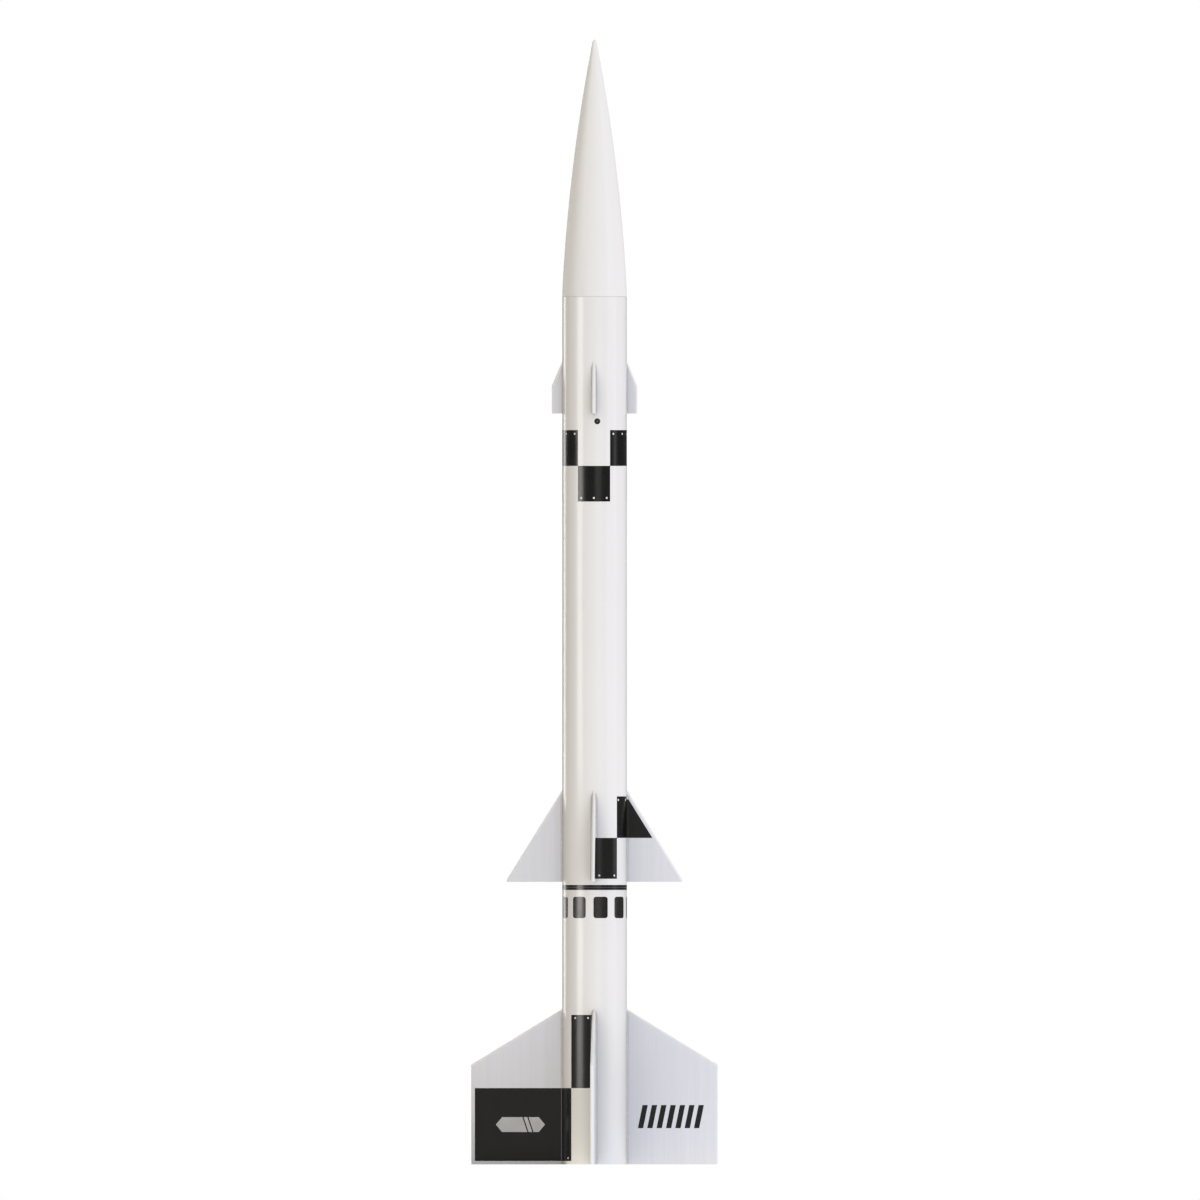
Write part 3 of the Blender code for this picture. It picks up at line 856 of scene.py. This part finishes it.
def shock_cord_mount(card_paper):
    """A strip of paper folded in three over the cord's end and pressed against the wall."""
    low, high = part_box("shock_cord_mount")
    inner, outer, crease = 18.6 * MM, 20.0 * MM, 0.25 * MM
    steps = 32
    rings = []
    for k in range(steps + 1):
        across = k / steps
        angle = 90 + PAD_SWEEP * (across - 0.5)
        face = inner - 0.25 * MM * (1 - abs(math.cos(math.pi * across)) ** 6)
        ring = rounded([
            (face, low.z + 0.02 * MM, 0.4 * MM),
            (outer, low.z, 0.3 * MM),
            (outer, high.z, 0.3 * MM),
            (face, high.z, 0.4 * MM),
            (face + crease, (low.z + 2 * high.z) / 3, 0.0),
            (face + crease, (2 * low.z + high.z) / 3, 0.0),
        ], 4)
        rings.append([(*polar(r, angle), z) for r, z in ring])
    mesh = Solid().loft(rings).mesh("shock_cord_anchor", 45)
    show("shock_cord_anchor", mesh, card_paper, "airframe", "paper", "shock_cord_mount")


CORD_WIDTH = 3.2 * MM
CORD_THICKNESS = 1.1 * MM
COIL_R = 16.1 * MM
COIL_BOTTOM = 502.5 * MM
COIL_PITCH = 3.9 * MM
COIL_START = 150
COIL_TURNS = 5.58
COIL_KEYS_PER_TURN = 12
CORD_STEPS = 900
# Points in mm that the cord passes before and after its coil.
CORD_START = [(0.0, 17.9, 497.8), (-2.0, 17.7, 499.2), (-5.6, 16.2, 500.8)]
CORD_END = [(8.5, 9.6, 526.6), (3.2, 8.6, 530.2), (0.4, 4.6, 532.8), (0.0, 0.0, 533.2), (0.0, -3.2, 533.2)]
KNOT_STEPS = 96
KNOT_SIDES = 12
KNOT_LOOP = 0.95 * MM
KNOT_STRAND_R = 0.85 * MM
KNOT_FORWARD = 2.2 * MM


def map_lengths(mesh, columns, spots):
    """A UV map whose numbers are metres: spots gives (along, across) of each lofted point."""
    layer = mesh.uv_layers.new(name="UVMap")
    for loop in mesh.loops:
        layer.data[loop.index].uv = spots(loop.vertex_index // columns, loop.vertex_index % columns)


def shock_cord(elastic):
    keys = [Vector(p) * MM for p in CORD_START]
    for k in range(round(COIL_TURNS * COIL_KEYS_PER_TURN) + 1):
        turns = k / COIL_KEYS_PER_TURN
        keys.append(Vector((*polar(COIL_R, COIL_START + 360 * turns), COIL_BOTTOM + COIL_PITCH * turns)))
    keys += [Vector(p) * MM for p in CORD_END]
    path = smooth_points(keys, CORD_STEPS)
    power = 0.55  # below 1 it flattens the cord's oval section
    section = []
    for a, b in circle(1.0, 16):
        flat = math.copysign(abs(b) ** power, b) * CORD_THICKNESS / 2
        section.append((flat, math.copysign(abs(a) ** power, a) * CORD_WIDTH / 2))
    mesh = Solid().tube(path, section).mesh("shock_cord_elastic", 60)
    step = length_of(path) / (len(path) - 1)
    map_lengths(mesh, len(section), lambda row, column: (row * step, section[column][1]))
    cord = show("shock_cord_elastic", mesh, elastic, None, "elastic", "shock_cord")
    knot = show("shock_cord_knot", knot_mesh(path[-1]), elastic, "nose", "elastic")
    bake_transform(cord)


def knot_mesh(place):
    """An overhand knot drawn tight past the eyelet."""
    loop = []
    for k in range(KNOT_STEPS + 1):
        t = math.tau * k / KNOT_STEPS
        reach = 2 + math.cos(3 * t)
        spot = Vector((reach * math.cos(2 * t), math.sin(3 * t) * 0.9, reach * math.sin(2 * t)))
        loop.append(place + Vector((0, -KNOT_FORWARD, 0)) + spot * KNOT_LOOP)
    rings = []
    for i, here in enumerate(loop):
        run = (loop[(i + 1) % KNOT_STEPS] - loop[(i - 1) % KNOT_STEPS]).normalized()
        across = run.cross(Vector((0, 1, 0))).normalized()
        up = across.cross(run)
        rings.append([here + across * a + up * b for a, b in circle(KNOT_STRAND_R, KNOT_SIDES)])
    mesh = Solid().loft(rings, closed_ends=False).mesh("shock_cord_knot", 60)
    map_lengths(mesh, KNOT_SIDES, lambda row, column: (row * 0.3 * MM, column * 0.4 * MM))
    return mesh


CANOPY_PITCH = 0.54 * MM
CANOPY_COLUMNS = 44  # to a turn
CANOPY_ROWS = 16


def parachute(cloth):
    """The canopy folded to a strip and rolled up tight, its ends drawn in a little."""
    low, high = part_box("parachute")
    inner, outer = 1.6 * MM, high.y - 0.35 * MM
    middle, half = (low.z + high.z) / 2, (high.z - low.z) / 2 - 0.6 * MM
    count = int((outer - inner) / CANOPY_PITCH * CANOPY_COLUMNS)
    verts, spots, along = [], [], 0.0
    for i in range(count + 1):
        turns = i / CANOPY_COLUMNS
        radius = inner + CANOPY_PITCH * turns
        angle = math.tau * turns
        drawn_in = 3.2 * MM * (radius / outer) ** 8 + 0.7 * MM * math.sin(2.3 * turns + 0.6)
        for j in range(CANOPY_ROWS + 1):
            v = j / CANOPY_ROWS * 2 - 1
            z = middle + v * (half - abs(drawn_in))
            # The roll isn't quite round, and it narrows towards both ends.
            ripple = 0.012 * math.sin(2 * angle + 4 * v)
            taper = 0.05 * max(0.0, abs(v) - 0.86) / 0.14
            reach = radius * 0.985 * (1 + ripple - taper)
            verts.append((reach * math.cos(angle), reach * math.sin(angle), z))
            spots.append((along, z))
        along += radius * math.tau / CANOPY_COLUMNS
    wide = CANOPY_ROWS + 1
    starts = [i * wide + j for i in range(count) for j in range(CANOPY_ROWS)]
    faces = [(a, a + wide, a + wide + 1, a + 1) for a in starts]
    mesh = bpy.data.meshes.new("parachute_canopy")
    mesh.from_pydata(verts, [], faces)
    mesh.shade_smooth()
    layer = mesh.uv_layers.new(name="UVMap")
    for loop in mesh.loops:
        layer.data[loop.index].uv = spots[loop.vertex_index]
    canopy = show("parachute_canopy", mesh, cloth, "airframe", "canopy_cloth", "parachute")
    solid = canopy.modifiers.new("cloth_thickness", "SOLIDIFY")
    solid.thickness, solid.offset = 0.1 * MM, 0.0


LINES = 6
LINE_LENGTH = 0.457
LINE_R = 0.3 * MM
LINE_STEPS = 240
LINE_SIDES = 8


def shroud_lines(thread):
    """Six lines wound side by side round the rolled canopy, each as long as the canopy is wide."""
    low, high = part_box("shroud_lines")
    radius = (high.y + 16.7 * MM) / 2
    turns = LINE_LENGTH / (math.tau * radius)
    climb = (high.z - low.z - 2 * LINE_R) / (turns + (LINES - 1) / LINES)
    for line in range(LINES):
        path = []
        for k in range(LINE_STEPS + 1):
            t = turns * k / LINE_STEPS
            height = low.z + LINE_R + climb * (t + line / LINES)
            path.append(Vector((*polar(radius, 360 * t + 20), height)))
        name = f"shroud_line_{line + 1}"
        mesh = Solid().tube(path, circle(LINE_R, LINE_SIDES)).mesh(name, 60)
        along, around = LINE_LENGTH / LINE_STEPS, LINE_R * math.tau / LINE_SIDES
        map_lengths(mesh, LINE_SIDES, lambda row, column: (row * along, column * around))
        nodes = ["shroud_lines"] if line == 0 else []
        piece = show(name, mesh, thread, "airframe", "line_thread", *nodes)


# ---------------------------------------------------------------- decals


def tube_patch(solid, middle, width, bottom, top, corner=0.0, raised=(0.0, DECAL)):
    """A thin curved plate on the tube: middle in degrees from the front, width along the surface."""
    edge = [corner * (1 - math.cos(math.radians(90 * k / 6))) for k in range(7)] if corner else [0.0]
    inner = width - 2 * corner
    steps = max(1, round(inner / (0.6 * MM)))
    between = [corner + inner * k / steps for k in range(1, steps)]
    rings = []
    for s in [*edge, *between, *(width - s for s in reversed(edge))]:
        near = min(s, width - s)
        inset = corner - math.sqrt(max(0.0, corner**2 - (corner - near) ** 2)) if near < corner else 0.0
        inset = min(inset, (top - bottom) / 2 - 0.001 * MM)
        angle = middle - 90 + math.degrees((s - width / 2) / TUBE_R)
        under, over = (polar(TUBE_R + r, angle) for r in raised)
        low, high = bottom + inset, top - inset
        rings.append([(*under, low), (*over, low), (*over, high), (*under, high)])
    solid.loft(rings)


def tube_patch_between(solid, start, end, bottom, top):
    tube_patch(solid, (start + end) / 2, math.radians(end - start) * TUBE_R, bottom, top)


def dot_on_tube(solid, middle, height, diameter, raised=(DECAL, DECAL + DOT)):
    reach = diameter / 2
    tube_patch(solid, middle, diameter, height - reach, height + reach, reach, raised)


def fin_patch(solid, outline, angle, side, raised=(0.0, DECAL)):
    """A thin flat plate on a fin's face. Side is the way that face looks in the fin's own frame."""
    face = FIN_THICKNESS / 2
    solid.prism(outline, side * (face + raised[0]), side * (face + raised[1]), about_axis(angle))


def corner_patch(solid, kind, angle, side, bottom, top):
    """The decal where it dips through the glue fillet between tube and fin."""
    radius = FILLET_R[kind]
    outline = fillet_arc(radius, side, DECAL) + fillet_arc(radius, side)[::-1]
    solid.loft([[(x, y, z) for x, y in outline] for z in (bottom, top)], place=about_axis(angle))


RIVET = 1.3 * MM
UPPER_CHECKER = (474.1 * MM, 451.0 * MM, 428.0 * MM)
MID_CHECKER = (237.6 * MM, 210.8 * MM, 184.4 * MM)
BASE_CHECKER = (96.5 * MM, 49.25 * MM, 2.2 * MM)
MID_INSET = 2.2 * MM
BASE_INSET = 2.3 * MM


def fin_root_x(kind):
    """Distance from the axis at which the fin's flat face begins, past its fillet."""
    radius = FILLET_R[kind]
    return math.sqrt((TUBE_R + radius) ** 2 - (FIN_THICKNESS / 2 + radius) ** 2)


def upper_checker(black, dots):
    top, middle, bottom = UPPER_CHECKER
    for k in range(6):
        low, high = (middle, top) if k % 2 == 0 else (bottom, middle)
        centre = 60 + 60 * k
        tube_patch_between(black, centre - 30, centre + 30, low, high)
        rivet_z = top - 2.4 * MM if k % 2 == 0 else bottom + 2.3 * MM
        for off in (-23.3, 0.0, 23.3):
            dot_on_tube(dots, centre + off, rivet_z, RIVET)


def mid_checker(black, dots):
    """Front right and, turned half round, rear left."""
    top, middle, bottom = MID_CHECKER
    kind = "upper_fin"
    edge = fillet_angle(kind)
    root = fin_root_x(kind)
    tip_x = fin_corners(kind)[1].x - TIP_REACH
    run = fin_corners(kind)[1] - fin_corners(kind)[0]
    upper_row, lower_row = top - 2.3 * MM, bottom + 2.1 * MM
    rivets = [(48.5, upper_row), (75, upper_row), (9.6, lower_row), (38.9, lower_row)]
    for turned in (0, 180):
        tube_patch_between(black, 45 + turned, 90 - edge + turned, middle, top)
        tube_patch_between(black, edge + turned, 45 + turned, bottom, middle)
        corner_top = min(top, leading_height(kind, root, MID_INSET))
        corner_patch(black, kind, turned, -1, middle, corner_top)
        corner_patch(black, kind, turned + 270, 1, bottom, middle)
        reach = root + (corner_top - middle) * run.x / -run.y
        fin_patch(black, [(root, corner_top), (reach, middle), (root, middle)], turned, -1)
        low_reach = min(root + (corner_top - bottom) * run.x / -run.y, tip_x - MID_INSET)
        shoulder = leading_height(kind, low_reach, MID_INSET)
        slope = [(reach, middle), (low_reach, shoulder)]
        fin_patch(black, [(root, middle), *slope, (low_reach, bottom), (root, bottom)], turned + 270, 1)
        for angle, height in rivets:
            dot_on_tube(dots, angle + turned, height, RIVET)


def base_checker(black, dots, grey_mark, dark_mark):
    """Front left and, turned half round, rear right, with the marks on the large fins."""
    top, middle, bottom = BASE_CHECKER
    kind = "lower_fin"
    edge = fillet_angle(kind)
    root = fin_root_x(kind)
    tip_x = fin_corners(kind)[1].x - BASE_INSET
    tip_top = leading_height(kind, tip_x, BASE_INSET)
    rivets = [(-35.5, top - 2.0 * MM), (-10.5, top - 2.0 * MM), (-54, bottom + 1.9 * MM)]
    for turned in (0, 180):
        tube_patch_between(black, -45 + turned, -edge + turned, middle, top)
        tube_patch_between(black, -90 + edge + turned, -45 + turned, bottom, middle)
        corner_patch(black, kind, turned + 180, 1, bottom, middle)
        outline = [(root, middle), (tip_x, middle), (tip_x, bottom), (root, bottom)]
        fin_patch(black, outline, turned + 180, 1)
        corner_top = min(top, leading_height(kind, root, BASE_INSET))
        corner_patch(black, kind, turned + 270, -1, middle, corner_top)
        outline = [(root, middle), (root, corner_top), (tip_x, tip_top), (tip_x, middle)]
        fin_patch(black, outline, turned + 270, -1)
        for angle, height in rivets:
            dot_on_tube(dots, angle + turned, height, RIVET)
        blank_badge(grey_mark, turned + 180)
        slanted_bars(dark_mark, turned)


def blank_badge(solid, angle):
    """A plain light bar with pointed ends, cut by two slanted gaps."""
    left, right, low, high = 32.0 * MM, 63.7 * MM, 20.9 * MM, 30.5 * MM
    centre, point, slant, gap = (low + high) / 2, 4.0 * MM, 1.6 * MM, 0.8 * MM
    first, second = left + 9.0 * MM, left + 12.2 * MM

    def up(x):
        return [(x - slant, low), (x + slant, high)]

    def down(x):
        return up(x)[::-1]

    start = [(left + point, low), (left, centre), (left + point, high)]
    end = [(right - point, high), (right, centre), (right - point, low)]
    for outline in (start + down(first), up(first + gap) + down(second), up(second + gap) + end):
        fin_patch(solid, outline, angle, 1, (DECAL, DECAL + DOT))


def slanted_bars(solid, angle):
    """Seven slanted bars in a row, on the bare paint."""
    left, right, low, high = 28.0 * MM, 70.6 * MM, 23.4 * MM, 38.3 * MM
    count, bar, slant = 7, 3.4 * MM, 3.0 * MM
    step = (right - left - bar - slant) / (count - 1)
    for k in range(count):
        x = left + step * k
        outline = [(x, low), (x + slant, high), (x + slant + bar, high), (x + bar, low)]
        fin_patch(solid, outline, angle, -1)


WINDOW_COUNT = 9
WINDOW_FIRST = 12.2  # degrees
WINDOW = (9.4 * MM, 159.0 * MM, 172.8 * MM, 1.7 * MM)  # width, bottom, top, corner


def windows():
    solid = Solid()
    width, bottom, top, corner = WINDOW
    for k in range(WINDOW_COUNT):
        tube_patch(solid, WINDOW_FIRST + 360 / WINDOW_COUNT * k, width, bottom, top, corner)
    return solid


def stage_band(black, grey):
    """Two black rings either side of the joint and the thin grey line between them."""
    centre, half, line = STAGE_JOINT_Z - 0.9 * MM, 1.6 * MM, 0.25 * MM
    for solid, low, high in (
        (black, centre - half, centre - line),
        (black, centre + line, centre + half),
        (grey, centre - line, centre + line),
    ):
        solid.turn([(TUBE_R, low), (TUBE_R + DECAL, low), (TUBE_R + DECAL, high), (TUBE_R, high)])


def decals():
    black = decal("decal_black", (0.0065, 0.0065, 0.0062), 0.24, 0.5)
    glossy = decal("window_black", (0.003, 0.003, 0.003), 0.26, 0.72)
    grey = decal("decal_grey", (0.55, 0.55, 0.55), 0.3, 0.5)
    dark_grey = decal("decal_dark_grey", (0.07, 0.07, 0.07), 0.3, 0.5)
    white = decal("decal_white", (0.82, 0.82, 0.81), 0.3, 0.5)

    rows = [
        ("upper_checker_decal", "upper", black, "decal_black"),
        ("mid_checker_decal", "mid", black, "decal_black"),
        ("base_checker_decal", "base", black, "decal_black"),
        ("rivet_dots", "dots", white, "painted_tube"),
        ("blank_badge_decal", "badge", grey, "decal_grey"),
        ("slanted_bars_decal", "bars", black, "decal_black"),
        ("stage_band_decal", "band", black, "decal_black"),
        ("stage_band_line", "line", dark_grey, "decal_grey"),
        ("port_decal", "port", black, "decal_black"),
        ("port_eye_decal", "eye", dark_grey, "decal_grey"),
    ]
    groups = {group: Solid() for _, group, _, _ in rows}
    upper_checker(groups["upper"], groups["dots"])
    mid_checker(groups["mid"], groups["dots"])
    base_checker(groups["base"], groups["dots"], groups["badge"], groups["bars"])
    stage_band(groups["band"], groups["line"])
    port_angle, port_z = 6.0, 479.8 * MM
    dot_on_tube(groups["port"], port_angle, port_z, 3.9 * MM, (0.0, DECAL))
    dot_on_tube(groups["eye"], port_angle, port_z, 1.1 * MM)
    for name, group, material, slot in rows:
        show(name, groups[group].mesh(name), material, "airframe", slot)
    show("window_decals", windows().mesh("window_decals"), glossy, "airframe", "decal_black")


# ---------------------------------------------------------------- camera, lights and floor

PHOTO_AZIMUTH = 1.2  # degrees
PHOTO_DISTANCE = 1.5
PHOTO_HEIGHT = 0.3644
PHOTO_SIDE = 0.0035
PHOTO_SPAN = 0.7748


def aimed(name, data, place, forward):
    """A camera or light at the place, facing forward with its top up."""
    obj = link(name, data)
    obj.location = place
    obj.rotation_mode = "QUATERNION"
    obj.rotation_quaternion = forward.to_track_quat("-Z", "Y")
    return obj


def camera():
    """Level and square on, without perspective."""
    turn = math.radians(PHOTO_AZIMUTH)
    back = Vector((math.sin(turn), -math.cos(turn), 0))
    right = Vector((math.cos(turn), math.sin(turn), 0))
    data = bpy.data.cameras.new("camera")
    data.type = "ORTHO"
    data.ortho_scale = PHOTO_SPAN
    place = back * PHOTO_DISTANCE + right * PHOTO_SIDE + Vector((0, 0, PHOTO_HEIGHT))
    bpy.context.scene.camera = aimed("camera", data, place, -back)


# Lights that only the gloss mirrors: degrees from the front, distance, width, height, radiance, colour.
LIGHTS = {
    "strip_left": (-53, 1.6, 0.62, 2.2, 6.2, (1.0, 0.98, 0.95)),
    "rim_left": (-135, 1.6, 0.6, 2.2, 3.6, (1.0, 0.98, 0.95)),
    "front_dim": (14, 2.2, 0.8, 2.0, 0.8, (1.0, 1.0, 1.0)),
    "strip_right": (79, 1.6, 0.2, 2.0, 2.0, (1.0, 1.0, 1.0)),
}
LIGHT_HEIGHT = 0.4
LIGHT_AIM = (0, 0, 0.38)


def softbox(name, azimuth, distance, width, height, radiance, colour):
    data = bpy.data.lights.new(name, "AREA")
    data.shape = "RECTANGLE"
    data.size, data.size_y = width, height
    data.energy = radiance * math.pi * width * height
    data.color = colour
    place = Vector((*polar(distance, azimuth - 90), LIGHT_HEIGHT))
    obj = aimed(name, data, place, Vector(LIGHT_AIM) - place)
    obj.visible_diffuse = obj.visible_camera = False


# The room's light by direction: degrees from the front, how bright it is and its colour. A dark
# card stands on the left. The light is warm from the left and cool from the front right.
ROOM = [
    (-180, 0.90, (1.05, 1.0, 0.94)),
    (-135, 0.90, (1.07, 1.0, 0.90)),
    (-122, 0.10, (1.07, 1.0, 0.88)),
    (-64, 0.10, (1.07, 1.0, 0.88)),
    (-54, 1.15, (1.07, 1.0, 0.88)),
    (-12, 1.11, (1.06, 1.0, 0.90)),
    (12, 1.03, (0.95, 0.99, 1.10)),
    (55, 1.07, (0.97, 0.99, 1.07)),
    (95, 1.12, (1.07, 1.0, 0.95)),
    (180, 0.90, (1.05, 1.0, 0.94)),
]
ROOM_PEAK = 1.3
PASSED_ON = 0.1  # the part of the light that surfaces pass on to each other


def room_light(tree, direction):
    """The room's light from that direction."""
    parts = join(tree, "SeparateXYZ", {0: direction})
    forward = join(tree, "Math", {0: parts.outputs["Y"], 1: -1.0}, operation="MULTIPLY")
    azimuth = join(tree, "Math", {0: parts.outputs["X"], 1: forward.outputs[0]}, operation="ARCTAN2")
    around = {"From Min": -math.pi, "From Max": math.pi}
    share = join(tree, "MapRange", {"Value": azimuth.outputs[0], **around})
    ramp = join(tree, "ValToRGB", {"Fac": share.outputs["Result"]})
    elements = ramp.color_ramp.elements
    for degrees, _, _ in ROOM[1:-1]:
        elements.new((degrees + 180) / 360)
    for element, (_, level, colour) in zip(elements, ROOM):
        element.color = (*tint(colour, level / ROOM_PEAK), 1)
    depth = join(tree, "LightPath").outputs["Diffuse Depth"]
    limits = {"From Min": 1.0, "From Max": 2.0, "To Min": ROOM_PEAK, "To Max": PASSED_ON * ROOM_PEAK}
    strength = join(tree, "MapRange", {"Value": depth, **limits})
    return {"Color": ramp.outputs["Color"], "Strength": strength.outputs["Result"]}


def world():
    """White behind the rocket, the room's light on it, and little for its gloss to mirror."""
    made = bpy.data.worlds.new("studio")
    made.use_nodes = True
    made.cycles.sampling_method = "NONE"
    tree = made.node_tree
    tree.nodes.clear()
    rays = join(tree, "LightPath").outputs
    room = join(tree, "Background", room_light(tree, join(tree, "TexCoord").outputs["Generated"]))
    dim = join(tree, "Background", {"Color": (0.09, 0.09, 0.09, 1)})
    backdrop = join(tree, "Background", {"Color": (1, 1, 1, 1)})
    lit = join(tree, "MixShader", {0: rays["Is Glossy Ray"], 1: room.outputs[0], 2: dim.outputs[0]})
    seen = join(tree, "MixShader", {0: rays["Is Camera Ray"], 1: lit.outputs[0], 2: backdrop.outputs[0]})
    join(tree, "OutputWorld", {"Surface": seen.outputs[0]})
    bpy.context.scene.world = made


def floor():
    """A plain pale floor that gives back the light of its side of the room."""
    look = Look("floor", (0.9, 0.9, 0.9), 0.9, Specular_IOR_Level=0.0)
    look.colours((3, 3), (0.885, 0.885, 0.885), (0.9, 0.9, 0.9))
    tree = look.tree
    glow = join(tree, "Emission", room_light(tree, join(tree, "TexCoord").outputs["Object"]))
    diffuse_ray = join(tree, "LightPath").outputs["Is Diffuse Ray"]
    mixed = join(tree, "MixShader", {0: diffuse_ray, 1: look.shader.outputs[0], 2: glow.outputs[0]})
    tree.links.new(mixed.outputs[0], tree.nodes["Material Output"].inputs["Surface"])
    size = 4.0
    mesh = bpy.data.meshes.new("floor")
    corners = [(-size, -size, 0), (size, -size, 0), (size, size, 0), (-size, size, 0)]
    mesh.from_pydata(corners, [], [(0, 1, 2, 3)])
    mesh.materials.append(look.material)
    obj = link("floor", mesh)
    obj.location.z = -0.1 * MM


# ---------------------------------------------------------------- the scene


def main():
    camera()
    shock_cord(braided_elastic())
    shroud_lines(twisted_thread())
    parachute(canopy_cloth())

    paint, kraft = painted_tube(), card("kraft_card", (0.36, 0.235, 0.13), (0.50, 0.345, 0.205), 55 * MM)
    plastic = bare_plastic()
    nose_cone(nose_paint(), plastic)
    nose_plug(plastic)
    body_tube("upper_tube_painted", "upper_body_tube", paint, kraft)
    body_tube("lower_tube_painted", "lower_body_tube", paint, kraft)
    # Two copies of one paint: painted shade on the fin faces and a painted highlight on the fin edges.
    fins(painted_balsa("painted_balsa", FIN_FACE_SHADE_WHITE), painted_balsa("balsa_edge_painted_highlight", WHITE))
    # The fillets take the grey paint: painted shade along the fin roots.
    fillets(painted_glue())
    launch_lugs(paint, kraft)
    engine_mount(kraft, card("grey_card", (0.25, 0.24, 0.225), (0.36, 0.35, 0.33), 40 * MM), film())
    engine_hook(spring_steel())
    shock_cord_mount(paper())
    decals()

    floor()
    world()
    for name, settings in LIGHTS.items():
        softbox(name, *settings)
    bpy.context.scene.view_settings.view_transform = "Standard"


main()
